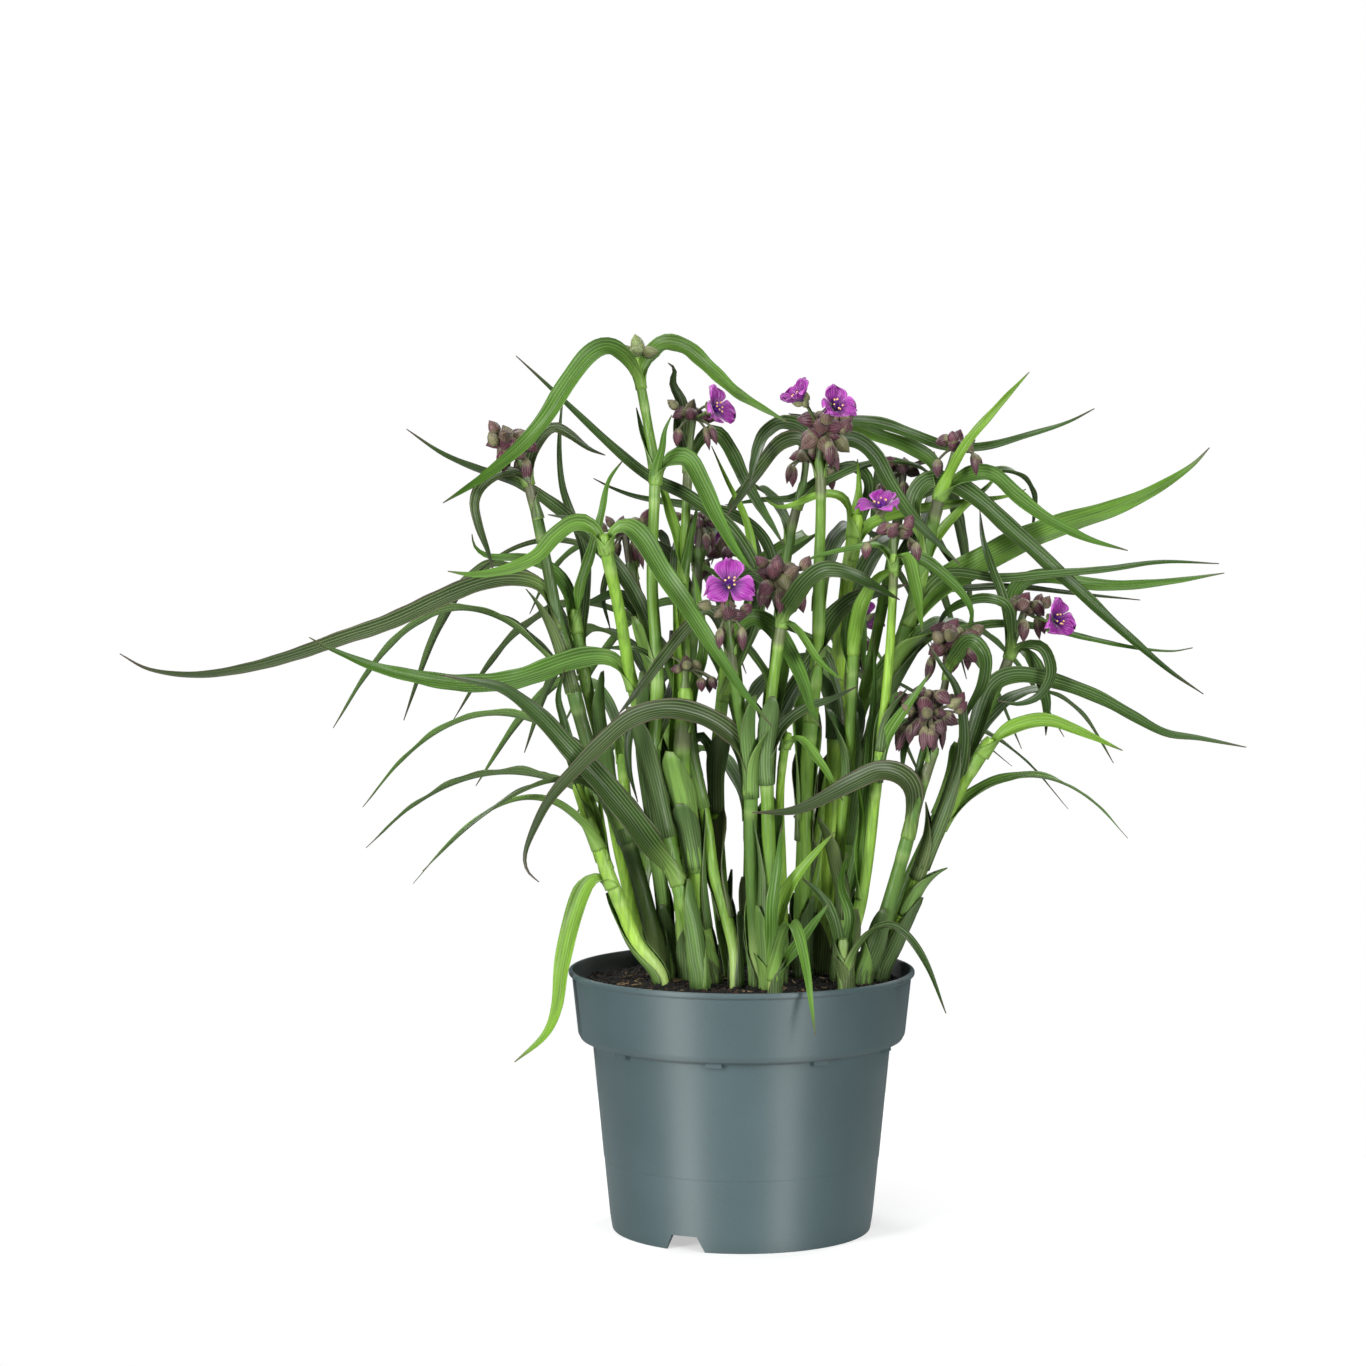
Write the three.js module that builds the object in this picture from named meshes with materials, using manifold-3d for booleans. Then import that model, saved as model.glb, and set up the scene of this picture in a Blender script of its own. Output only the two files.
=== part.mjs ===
// A potted tradescantia: an upright clump of jointed stems with channelled strap leaves, bud heads and
// three-petalled flowers, in a round nursery pot. Millimetres, +Z up. The origin is the middle of the
// pot's foot, on the table. The front is -Y.
import * as THREE from 'three';
import { mergeVertices } from 'three/addons/utils/BufferGeometryUtils.js';
import Module from 'manifold-3d';

const wasm = await Module();
wasm.setup();

const GAP = 0.3;
const SEAT_GAP = 0.4;

// Pot
const POT_HEIGHT = 144;
const RIM_RADIUS = 95.4;
const LIP_HEIGHT = 3;
const LIP_OVERHANG = 1.8;
const COLLAR_HEIGHT = 35;
const COLLAR_FOOT_RADIUS = 90.2;
const STEP_HEIGHT = 5;
const BODY_RADIUS = 82.2;
const FOOT_RADIUS = 71.4;
const WALL = 1.8;
const POT_SIDES = 32;
const CHANNEL_HEIGHT = 9;
const CHANNEL_INNER = 40;
const BASE_DISC_RADIUS = 30;
const DRAIN_HOLE_RADIUS = 4;
const DRAIN_HOLES = 8;
const DRAIN_RING_RADIUS = 54;
const NOTCHES = 3;
const NOTCH_FOOT_WIDTH = 25;
const NOTCH_TOP_WIDTH = 15;
const NOTCH_HEIGHT = 8.5;
const FIRST_NOTCH_DEG = 244;

// Soil
const SOIL_TOP = 134;
const SOIL_RELIEF = 1.6;
const SOIL_SECTORS = 20;
const SOIL_RINGS = [24, 46, 68];
const STEM_FOOT = 118;
const STEM_STRAIGHT = 139;
const HOLE_SIDES = 5;
const LOWEST_ROOT = 26;

// Stems, leaves and buds
const STEM_SIDES = 5;
const RING_SPACING = 60;
const SHEATH_LENGTH = 15;
const SHEATH_SWELL = 1.2;
const MIDRIB = 1.3;
const LEAF_SEGMENT = 100;
const LEAF_BEND = 0.65;
const LEAF_MOST_SEGMENTS = 8;
const BUD_SIDES = 5;
const BUD_EDGE = 0.85;
const CUT_GROW = 0.45;

// The routes below are (x, z) in the upright plane through the pot's axis, as someone 2 m in front sees
// them. A depth moves a point straight away from or towards that eye, so the front view stays the same.
const EYE = [-32.3, -2000, 437];

// Leaf tones: lime, mid green, dark green, olive with brown tips.
const LEAF_COLOURS = [0x8fb846, 0x5c8440, 0x46653a, 0x59663c];

// A shoot: name, depth at its foot and tip, radius at its foot and tip, route of the stem, its traced
// leaves (width, roll towards the front in degrees, how far the tip reaches back, tone, route), its leaves
// by rule (height on the stem, azimuth, length, rise, width, tone) and a side twig (radius, reach, route).
const SHOOTS = [
  ['shoot_01', [4, -8], [4.4, 3],
    [[-45, 133], [-58, 158], [-67, 180], [-75, 200], [-84, 225], [-91, 246]],
    [
      [10, 75, -45, 0, [[-74, 193], [-80, 195], [-87, 188], [-94, 168], [-99, 145], [-102, 122],
        [-109, 106], [-126, 91]]],
      [8, 55, -6, 2, [[-86, 232], [-93, 258], [-98, 280], [-101, 294], [-97, 310]]],
      [10, 60, 10, 0, [[-78, 208], [-83, 228], [-89, 246], [-96, 264], [-106, 280]]],
      [5, 50, 14, 0, [[-76, 203], [-77, 224], [-79, 245]]],
    ],
    [[215, 200, 120, 30, 8, 1]],
    []],
  ['shoot_02', [22, 0], [5.4, 2.7],
    [[-43, 133], [-50, 168], [-58, 198], [-68, 228], [-80, 255], [-88, 280], [-96, 312], [-101, 335],
     [-104, 352], [-108, 372], [-112, 392], [-116, 408], [-119, 419]],
    [
      [10.5, 62, -22, 3, [[-101, 336], [-107, 351], [-118, 358], [-136, 358], [-160, 350], [-190, 336],
        [-216, 327], [-242, 318], [-270, 310], [-300, 306], [-325, 309], [-342, 318]]],
      [7, 65, -12, 3, [[-118, 414], [-130, 417], [-141, 411], [-146, 401], [-144, 388], [-139, 374],
        [-136, 362]]],
      [8, 60, 22, 3, [[-118, 414], [-113, 431], [-104, 441], [-95, 438], [-84, 430], [-74, 426]]],
      [5, 60, -4, 3, [[-113, 396], [-114, 404], [-110, 410]]],
    ],
    [[300, 150, 190, 45, 10, 2], [225, 215, 150, 30, 10, 2]],
    []],
  ['shoot_03', [40, 14], [4.2, 3],
    [[-46, 133], [-56, 165], [-65, 200], [-71, 230], [-76, 262], [-84, 295], [-90, 325], [-92, 342]],
    [
      [8, 60, 8, 1, [[-91, 330], [-96, 353], [-106, 365], [-122, 370], [-138, 371], [-146, 376],
        [-148, 384]]],
      [7, 55, 4, 1, [[-91, 334], [-88, 356], [-82, 374], [-77, 394], [-73, 412], [-64, 425]]],
      [5.5, 70, 30, 2, [[-90, 320], [-86, 350], [-86, 372], [-92, 390], [-98, 408], [-100, 428],
        [-99, 448], [-97, 462]]],
    ],
    [[310, 130, 200, 60, 10, 2], [250, 165, 170, 35, 10, 1]],
    []],
  ['shoot_04', [34, -22], [3.6, 3.2],
    [[-38, 133], [-41, 160], [-45, 200], [-50, 235], [-54, 262], [-57, 288], [-62, 310], [-67, 340],
     [-73, 368], [-76, 383]],
    [
      [10, 62, -12, 1, [[-75, 377], [-81, 387], [-92, 389], [-103, 381], [-112, 371], [-128, 364],
        [-146, 361], [-162, 363]]],
      [11.5, 68, -28, 1, [[-75, 378], [-66, 388], [-55, 381], [-42, 360], [-28, 340], [-14, 318],
        [0, 298], [17, 277]]],
      [4, 60, 12, 3, [[-75, 379], [-88, 390], [-107, 394]]],
      [12, 64, -34, 1, [[-60, 303], [-68, 313], [-80, 316], [-95, 313], [-112, 307], [-130, 302],
        [-150, 301], [-175, 304], [-200, 310], [-225, 320], [-238, 327]]],
    ],
    [],
    []],
  ['shoot_05', [-8, 0], [4.9, 2.4],
    [[-23, 133], [-25, 150], [-28, 168], [-33, 185], [-38, 203], [-43, 225], [-47, 245], [-49, 265],
     [-47, 290], [-47, 320], [-49, 350], [-49, 375], [-48, 400], [-48, 422], [-51, 440], [-54, 457],
     [-57, 472]],
    [
      [14, 68, -14, 2, [[-36, 195], [-50, 212], [-63, 230], [-80, 250], [-96, 267], [-112, 284],
        [-130, 298], [-150, 303], [-166, 306]]],
      [9, 62, 26, 2, [[-48, 318], [-52, 334], [-60, 352], [-72, 369], [-86, 384], [-102, 398],
        [-122, 411], [-145, 419], [-165, 428], [-184, 441]]],
      [11, 62, -26, 1, [[-48, 415], [-40, 424], [-30, 424], [-22, 410], [-13, 391], [-2, 372], [9, 360]]],
      [4, 60, 6, 2, [[-49, 424], [-54, 437], [-58, 453]]],
      [4.5, 60, -14, 1, [[-48, 416], [-44, 428], [-42, 440], [-38, 449]]],
      [10.5, 66, -26, 1, [[-56, 467], [-64, 480], [-74, 485], [-84, 480], [-95, 466], [-107, 447],
        [-122, 430], [-142, 414], [-164, 400]]],
      [10, 62, 14, 1, [[-56, 467], [-50, 481], [-42, 487], [-30, 484], [-17, 473], [-3, 460], [11, 452],
        [27, 443]]],
      [4, 60, 8, 2, [[-47, 314], [-58, 320], [-77, 321]]],
    ],
    [[270, 100, 150, 40, 9, 2]],
    []],
  ['shoot_06', [18, 8], [3.5, 3],
    [[-31, 133], [-34, 180], [-37, 215], [-36, 245]],
    [
      [9, 60, 6, 0, [[-37, 210], [-36, 245], [-37, 272], [-35, 300], [-36, 330], [-38, 362]]],
      [8, 60, -10, 2, [[-36, 238], [-44, 262], [-52, 280], [-61, 276], [-62, 256], [-57, 235]]],
    ],
    [],
    []],
  ['shoot_07', [10, -8], [4.6, 4.2],
    [[-16, 133], [-21, 165], [-26, 200], [-31, 235], [-33, 262], [-31, 285], [-31, 299]],
    [
      [10, 60, -10, 2, [[-17, 140], [-21, 160], [-22, 180], [-21, 197]]],
      [7, 60, 14, 1, [[-32, 280], [-26, 300], [-21, 320], [-23, 345], [-28, 368]]],
    ],
    [],
    []],
  ['shoot_08', [-4, 30], [3.7, 2.4],
    [[-3, 133], [-4, 155], [-10, 178], [-16, 200], [-19, 222], [-24, 245], [-28, 265], [-30, 295],
     [-32, 330], [-32, 360], [-31, 388], [-30, 410], [-29, 427]],
    [
      [7, 60, 8, 0, [[-31, 360], [-35, 380], [-41, 400], [-46, 418], [-49, 432]]],
      [5, 60, -8, 1, [[-31, 362], [-28, 380], [-24, 401]]],
      [10, 62, 8, 3, [[-29, 421], [-34, 438], [-33, 454], [-38, 465], [-37, 473], [-41, 477]]],
      [8.5, 62, -22, 2, [[-29, 421], [-22, 435], [-14, 438], [-6, 428], [1, 413], [8, 401], [15, 390],
        [23, 377]]],
    ],
    [[330, 75, 170, 50, 9, 2]],
    []],
  ['shoot_09', [26, 18], [4, 3.2],
    [[-5, 133], [-9, 165], [-12, 200], [-14, 235], [-14, 262], [-11, 290], [-9, 312]],
    [
      [7, 60, 22, 0, [[-9, 300], [0, 330], [6, 360], [3, 388], [-8, 412], [-17, 432]]],
      [9, 62, 20, 2, [[-10, 296], [6, 335], [8, 360], [-6, 385], [-28, 403], [-50, 414], [-70, 430],
        [-90, 449], [-110, 468], [-124, 481]]],
      [6, 60, 10, 2, [[-14, 256], [-22, 272], [-34, 262], [-44, 248]]],
    ],
    [],
    []],
  ['shoot_10', [-2, -30], [4.8, 2.6],
    [[9, 133], [8, 160], [6, 190], [5, 220], [5, 247], [3, 264], [-1, 285], [-5, 308], [-7, 327]],
    [
      [12, 60, -34, 3, [[5, 245], [1, 264], [-9, 276], [-24, 284], [-42, 287], [-60, 282], [-76, 269],
        [-92, 253], [-105, 238], [-113, 224], [-119, 208], [-118, 198], [-111, 191]]],
      [10.5, 64, -34, 1, [[-6, 322], [3, 336], [14, 334], [24, 322], [33, 303], [38, 288], [43, 277]]],
      [7, 62, -14, 3, [[-6, 322], [-18, 341], [-30, 332], [-44, 314], [-57, 297], [-68, 284]]],
      [9, 60, -6, 2, [[9, 136], [10, 155], [11, 178]]],
    ],
    [],
    []],
  ['shoot_11', [-14, -24], [4.7, 2.6],
    [[15, 133], [14, 170], [15, 205], [14, 240], [13, 262], [16, 292], [20, 322], [23, 342]],
    [
      [9, 60, 12, 2, [[22, 337], [18, 351], [8, 361], [-4, 358], [-15, 349]]],
      [11, 62, -14, 2, [[22, 337], [32, 353], [44, 363], [58, 362], [72, 355], [87, 347]]],
      [5, 60, -8, 1, [[22, 337], [33, 327], [42, 314], [56, 302]]],
      [7, 60, 8, 2, [[13, 258], [22, 277], [36, 288], [50, 293], [64, 300]]],
    ],
    [],
    []],
  ['shoot_12', [10, -14], [3, 2.2],
    [[22, 133], [23, 170], [22, 205], [21, 238], [23, 262], [26, 274]],
    [
      [6, 60, -10, 1, [[25, 270], [33, 272], [40, 262], [47, 252], [56, 236]]],
      [5, 60, 6, 1, [[25, 268], [22, 277], [17, 283]]],
    ],
    [],
    []],
  ['shoot_13', [28, 0], [5, 2.7],
    [[34, 133], [33, 170], [34, 205], [35, 240], [37, 270], [40, 300], [42, 330], [42, 360], [43, 390],
     [43, 412], [42, 425]],
    [
      [9.5, 62, -14, 3, [[42, 419], [33, 434], [22, 433], [11, 421], [1, 406], [-8, 394]]],
      [9, 62, 14, 2, [[42, 419], [35, 439], [22, 444], [12, 437], [7, 424], [4, 410]]],
      [10, 62, -22, 2, [[42, 419], [52, 433], [62, 434], [72, 426], [80, 412], [90, 396], [99, 386],
        [120, 366]]],
      [7, 62, 20, 2, [[42, 419], [54, 442], [72, 444], [92, 438], [112, 431], [132, 431], [155, 437],
        [177, 444], [193, 452]]],
      [12, 60, -8, 2, [[41, 316], [48, 334], [60, 346], [76, 352], [92, 356]]],
      [8, 60, -12, 2, [[38, 285], [34, 304], [44, 318], [52, 300], [56, 278]]],
    ],
    [[345, 62, 180, 45, 10, 2]],
    []],
  ['shoot_14', [44, 26], [4.8, 3.6],
    [[44, 133], [46, 170], [48, 205], [50, 240], [51, 270], [52, 300], [55, 335], [59, 368], [63, 394]],
    [
      [4.5, 60, 6, 0, [[62, 388], [64, 408], [63, 425]]],
      [5.5, 60, -10, 0, [[61, 386], [56, 402], [44, 405], [30, 400], [20, 398], [10, 404]]],
      [7, 60, 10, 0, [[60, 374], [68, 387], [84, 394], [104, 398], [126, 401], [145, 404], [156, 408]]],
      [7.5, 60, 16, 2, [[61, 384], [69, 408], [63, 419], [52, 418], [40, 411], [28, 403], [12, 402],
        [-10, 399]]],
    ],
    [[330, 60, 190, 55, 11, 2], [280, 96, 180, 40, 10, 1]],
    []],
  ['shoot_15', [22, 4], [3.5, 3],
    [[53, 133], [56, 160], [56, 185], [54, 205], [56, 230], [59, 255], [60, 285], [61, 310], [62, 330]],
    [
      [7, 60, 8, 1, [[56, 165], [60, 188], [65, 212], [68, 240], [70, 268], [73, 300], [72, 332]]],
      [8, 60, -6, 1, [[61, 312], [58, 328], [62, 345], [66, 330], [67, 305]]],
      [9, 60, 10, 0, [[61, 322], [66, 345], [76, 360], [88, 364]]],
    ],
    [],
    []],
  ['shoot_16', [0, -24], [3.4, 2.2],
    [[57, 133], [61, 160], [67, 187], [71, 215], [74, 245], [77, 275], [80, 305], [82, 335], [83, 358],
     [83, 373]],
    [
      [4, 60, 8, 1, [[83, 367], [76, 377], [62, 376], [48, 373], [38, 370], [33, 364]]],
      [9, 62, -14, 1, [[83, 367], [90, 374], [94, 358], [97, 342], [99, 329]]],
      [7.5, 60, -6, 1, [[83, 365], [96, 370], [110, 361], [121, 350], [126, 339], [122, 329]]],
      [7, 60, -8, 1, [[75, 255], [80, 272], [91, 289], [104, 308]]],
      [6, 60, 8, 1, [[67, 187], [64, 205], [66, 228], [63, 250]]],
    ],
    [],
    []],
  ['shoot_17', [6, -12], [5.5, 2.4],
    [[67, 133], [72, 152], [80, 175], [87, 200], [93, 222], [98, 240], [103, 256], [107, 266]],
    [
      [12.5, 60, -34, 3, [[93, 221], [94, 240], [88, 250], [76, 253], [62, 247], [45, 238], [28, 231],
        [5, 230]]],
      [9, 62, -10, 2, [[112, 308], [124, 324], [133, 316], [132, 302], [126, 290], [122, 280]]],
      [7, 60, 8, 2, [[106, 262], [98, 278], [90, 268], [88, 250]]],
    ],
    [],
    [[2.2, 14, [[95, 228], [96, 246], [100, 265], [106, 282], [111, 298], [113, 312]]]]],
  ['shoot_18', [16, 2], [4.4, 3.6],
    [[77, 133], [85, 160], [97, 194], [108, 220], [119, 242], [130, 260], [137, 271]],
    [
      [8.5, 62, -20, 0, [[135, 266], [146, 276], [165, 281], [183, 276], [210, 264]]],
      [10, 62, 16, 2, [[121, 244], [130, 280], [138, 300], [152, 306], [172, 302], [195, 294], [215, 283],
        [233, 274], [252, 271], [278, 266]]],
      [8, 62, -12, 2, [[112, 226], [119, 250], [122, 268], [121, 285], [117, 300], [109, 312],
        [101, 325]]],
    ],
    [[225, 30, 150, 25, 9, 1]],
    []],
  ['shoot_19', [32, 24], [4.2, 2.6],
    [[70, 133], [79, 158], [91, 190], [103, 217], [114, 243], [126, 268], [137, 292], [145, 311],
     [149, 325]],
    [
      [9, 62, 22, 1, [[148, 319], [148, 345], [154, 357], [168, 360], [188, 356], [212, 355], [240, 358],
        [265, 362]]],
      [6, 62, 26, 2, [[148, 319], [144, 345], [137, 364], [132, 380], [130, 397]]],
      [6, 62, 2, 2, [[148, 319], [146, 342], [134, 348], [120, 345], [111, 339], [107, 330]]],
      [9, 62, -20, 2, [[149, 320], [157, 318], [163, 305], [167, 290], [167, 272]]],
      [7, 62, -28, 2, [[149, 320], [164, 322], [170, 308], [164, 295], [152, 290], [140, 292]]],
    ],
    [[265, 50, 170, 30, 9, 2]],
    []],
  ['shoot_20', [56, 18], [4.9, 3.2],
    [[48, 133], [52, 165], [56, 200], [62, 235], [68, 262], [76, 290], [86, 320], [95, 350], [102, 378],
     [107, 400], [111, 412]],
    [
      [9, 62, -30, 1, [[110, 406], [104, 422], [92, 430], [74, 437], [56, 443], [40, 446], [25, 449]]],
      [9.5, 62, -18, 1, [[110, 406], [122, 415], [136, 416], [150, 404], [168, 391], [188, 381],
        [212, 374]]],
      [5.5, 62, 16, 0, [[110, 406], [121, 430], [138, 451], [157, 472]]],
      [11, 62, 12, 2, [[101, 372], [94, 398], [101, 412], [114, 411], [130, 401], [150, 383], [170, 365],
        [190, 347], [212, 327], [235, 308], [254, 295]]],
      [6, 62, -4, 0, [[98, 360], [106, 380], [120, 397], [133, 408], [142, 418]]],
      [15.5, 68, -16, 1, [[89, 328], [104, 351], [124, 364], [148, 377], [174, 388], [200, 396],
        [225, 407], [245, 420], [256, 431]]],
      [5.5, 62, 14, 2, [[92, 338], [110, 361], [140, 359], [165, 361], [200, 364], [230, 368],
        [262, 367]]],
      [4.5, 62, 22, 3, [[85, 316], [104, 349], [130, 354], [155, 354], [180, 351], [219, 347]]],
      [5, 62, 18, 1, [[80, 300], [102, 326], [120, 331], [140, 334], [165, 332], [190, 326], [215, 321],
        [235, 319], [248, 321]]],
    ],
    [[355, 75, 200, 55, 11, 2], [290, 45, 190, 45, 11, 1]],
    []],
  ['shoot_21', [-32, -34], [3.8, 3],
    [[18, 133], [18, 146], [18, 158]],
    [
      [8.5, 60, -6, 0, [[18, 146], [20, 170], [27, 190], [39, 206], [52, 220]]],
      [7, 60, -10, 1, [[18, 138], [28, 152], [38, 166], [49, 181]]],
      [8, 60, 4, 1, [[18, 150], [17, 175], [20, 200], [22, 224]]],
    ],
    [[146, 285, 90, 34, 7, 1]],
    []],
  ['shoot_22', [-26, -30], [4, 3.2],
    [[58, 133], [57, 147], [56, 160]],
    [
      [8, 60, -4, 2, [[56, 150], [50, 173], [42, 186], [33, 194]]],
      [7, 60, 4, 1, [[57, 152], [60, 172], [55, 190], [58, 208]]],
    ],
    [[148, 320, 80, 28, 7, 2]],
    []],
  ['shoot_23', [62, 52], [3.8, 2.4],
    [[8, 133], [11, 180], [14, 240], [17, 300], [21, 345], [26, 380], [31, 402], [34, 413]],
    [
      [7, 60, 20, 2, [[22, 350], [12, 380], [-6, 394], [-30, 399], [-55, 403], [-70, 408], [-82, 414]]],
    ],
    [[380, 110, 150, 30, 9, 2], [400, 20, 120, 25, 8, 2], [296, 140, 190, 50, 10, 1],
     [260, 65, 200, 50, 11, 2]],
    []],
  ['shoot_24', [52, 38], [4, 2.6],
    [[-16, 133], [-24, 180], [-34, 240], [-46, 300], [-56, 345], [-62, 368]],
    [
      [10, 60, 10, 2, [[-50, 315], [-56, 338], [-68, 350], [-80, 347], [-91, 341]]],
      [5, 60, 14, 3, [[-58, 352], [-70, 366], [-76, 350], [-72, 330]]],
    ],
    [[360, 78, 150, 25, 9, 3], [360, 170, 120, 20, 8, 3], [280, 120, 200, 50, 11, 2]],
    []],
  ['shoot_25', [66, 50], [4.2, 2.6],
    [[28, 133], [42, 190], [56, 250], [70, 310], [80, 360], [85, 390], [87, 404]],
    [
      [7, 60, 14, 2, [[79, 350], [90, 376], [100, 388], [112, 372], [126, 352]]],
    ],
    [[395, 95, 140, 30, 9, 2], [395, 30, 130, 25, 8, 2], [280, 50, 190, 45, 11, 1]],
    []],
  ['shoot_26', [74, 66], [4.2, 2.6],
    [[-32, 133], [-33, 190], [-32, 250], [-28, 310], [-25, 350], [-24, 376]],
    [
      [9, 60, 10, 3, [[-26, 340], [-36, 366], [-48, 378], [-62, 372]]],
    ],
    [[365, 70, 150, 30, 9, 2], [300, 150, 190, 45, 11, 2], [230, 115, 180, 35, 11, 1]],
    []],
  ['shoot_27', [76, 104], [4.2, 2.5],
    [[2, 133], [4, 180], [4, 240], [-2, 300], [-6, 340], [-8, 360]],
    [
    ],
    [[352, 70, 150, 30, 9, 1], [352, 160, 150, 30, 9, 1], [270, 30, 190, 40, 11, 2],
     [220, 110, 190, 35, 12, 1]],
    []],
  ['shoot_28', [78, 112], [4.4, 2.6],
    [[20, 133], [33, 180], [45, 230], [53, 280], [57, 310]],
    [
    ],
    [[303, 60, 150, 30, 9, 1], [303, 130, 150, 25, 9, 1], [240, 20, 180, 35, 11, 2]],
    []],
  ['shoot_29', [58, 112], [4.2, 3],
    [[-46, 133], [-54, 180], [-62, 225], [-66, 262]],
    [
    ],
    [[255, 125, 190, 45, 10, 1], [215, 165, 190, 30, 12, 2], [175, 90, 180, 20, 11, 0]],
    []],
];

// A bud head sits on a stem's tip: stem, which of its axes, centre as (x, z), how far behind the tip it
// lies, radius of its core, whether it is full, length and radius of its buds, tone (0 green, 1 dusky
// pink, 2 dark and dried).
const HEADS = [
  ['bud_head_01', 'shoot_02', 0, [-126, 430], -2, 6.5, true, 9, 2.9, 1],
  ['bud_head_02', 'shoot_05', 0, [-58, 482], 0, 4, false, 8, 2.6, 0],
  ['bud_head_03', 'shoot_08', 0, [-27, 446], 0, 5, false, 8, 2.4, 1],
  ['bud_head_04', 'shoot_13', 0, [44, 437], -2, 7.5, true, 10, 3.2, 1],
  ['bud_head_05', 'shoot_20', 0, [117, 430], 0, 4.6, false, 8, 2.8, 1],
  ['bud_head_06', 'shoot_16', 0, [83, 384], 0, 4.2, false, 7, 2.6, 1],
  ['bud_head_07', 'shoot_19', 0, [155, 341], 0, 4.6, false, 8, 2.8, 1],
  ['bud_head_08', 'shoot_17', 1, [116, 322], 0, 8, true, 9, 3.2, 1],
  ['bud_head_09', 'shoot_17', 0, [103, 283], -4, 7, true, 9, 2.8, 2],
  ['bud_head_10', 'shoot_11', 0, [21, 358], 0, 7, true, 9, 3, 1],
  ['bud_head_11', 'shoot_10', 0, [-8, 338], 0, 5, false, 8, 2.8, 1],
  ['bud_head_12', 'shoot_07', 0, [-31, 309], 0, 3.6, false, 6, 2.4, 1],
  ['bud_head_13', 'shoot_24', 0, [-64, 383], 0, 3.4, false, 9, 2.2, 2],
  ['bud_head_14', 'shoot_26', 0, [-23, 387], 0, 3.6, false, 7, 2.4, 2],
  ['bud_head_15', 'shoot_25', 0, [88, 416], 0, 4.2, false, 7, 2.6, 2],
  ['bud_head_16', 'shoot_23', 0, [35, 424], 0, 4.2, false, 8, 2.6, 1],
  ['bud_head_17', 'shoot_27', 0, [-9, 371], 0, 6, false, 9, 2.8, 1],
  ['bud_head_18', 'shoot_28', 0, [59, 321], 0, 5, false, 8, 2.8, 1],
];

// A flower: its head, centre as (x, z), how far behind the head it lies, the way it faces (azimuth and
// height in degrees, -90 is straight at the front), petal length and how far the petals open.
const FLOWERS = [
  ['flower_01', 'bud_head_03', [-16, 451], -16, -35, 20, 13, 62],
  ['flower_02', 'bud_head_04', [33, 456], -14, -150, 45, 12, 40],
  ['flower_03', 'bud_head_04', [50, 452], -20, -60, 30, 12, 55],
  ['flower_04', 'bud_head_11', [-7, 355], -18, -85, 25, 14, 74],
  ['flower_05', 'bud_head_06', [76, 397], 11, -110, 66, 13, 66],
  ['flower_06', 'bud_head_07', [171, 336], -16, -50, 10, 12, 60],
  ['flower_07', 'bud_head_17', [-20, 384], 20, 110, 25, 13, 70],
  ['flower_08', 'bud_head_18', [66, 336], 18, 80, 35, 13, 66],
];

const HEAD_COLOURS = [0x86a55a, 0x7a4a58, 0x3f2028];
const PETAL_COLOUR = 0xb13cc8;

// Vectors as [x, y, z]
const add = (a, b) => [a[0] + b[0], a[1] + b[1], a[2] + b[2]];
const sub = (a, b) => [a[0] - b[0], a[1] - b[1], a[2] - b[2]];
const scale = (a, k) => [a[0] * k, a[1] * k, a[2] * k];
const dot = (a, b) => a[0] * b[0] + a[1] * b[1] + a[2] * b[2];
const cross = (a, b) => [
  a[1] * b[2] - a[2] * b[1],
  a[2] * b[0] - a[0] * b[2],
  a[0] * b[1] - a[1] * b[0],
];
const size = (a) => Math.sqrt(dot(a, a));
const unit = (a) => scale(a, 1 / size(a));
const radians = (deg) => (deg * Math.PI) / 180;
const clamp = (v, low, high) => Math.min(Math.max(v, low), high);
const UP = [0, 0, 1];
const BACK = [0, 1, 0];
const ASLANT = [0.9, 0.3, -0.3];

// A small seeded generator, so that every build draws the same numbers.
function seeded(seed) {
  let state = seed;
  return () => {
    state = (Math.imul(state, 1664525) + 1013904223) >>> 0;
    return state / 4294967296;
  };
}

// Where a point of a route lies once it is pushed back by a depth along the line of sight.
function seen(x, z, depth) {
  const k = 1 + depth / -EYE[1];
  return [EYE[0] + (x - EYE[0]) * k, depth, EYE[2] + (z - EYE[2]) * k];
}

// A smooth line through points, with its running length.
function smoothLine(points) {
  const curve = new THREE.CatmullRomCurve3(points.map((p) => new THREE.Vector3(...p)), false, 'catmullrom');
  const fine = curve.getPoints((points.length - 1) * 8).map((p) => p.toArray());
  const run = [0];
  for (let i = 1; i < fine.length; i++) run.push(run[i - 1] + size(sub(fine[i], fine[i - 1])));
  return { fine, run, total: run.at(-1) };
}

function pointAt(line, distance) {
  const d = clamp(distance, 0, line.total);
  let i = 1;
  while (i < line.run.length - 1 && line.run[i] < d) i++;
  const t = (d - line.run[i - 1]) / (line.run[i] - line.run[i - 1]);
  return add(line.fine[i - 1], scale(sub(line.fine[i], line.fine[i - 1]), t));
}

// The line's place and directions: along it, across a blade on it, and out of the blade's upper face.
function frameAt(line, distance, across, roll, side) {
  const along = unit(sub(pointAt(line, distance + 2), pointAt(line, distance - 2)));
  return frameAlong(pointAt(line, distance), along, across, roll, side);
}

function frameAlong(at, along, across, roll, side) {
  const level = unit(sub(across, scale(along, dot(across, along))));
  const upright = cross(along, level);
  const wide = add(scale(upright, Math.sin(roll)), scale(level, side * Math.cos(roll)));
  return { at, along, wide, face: cross(along, wide) };
}

// Solids

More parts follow.
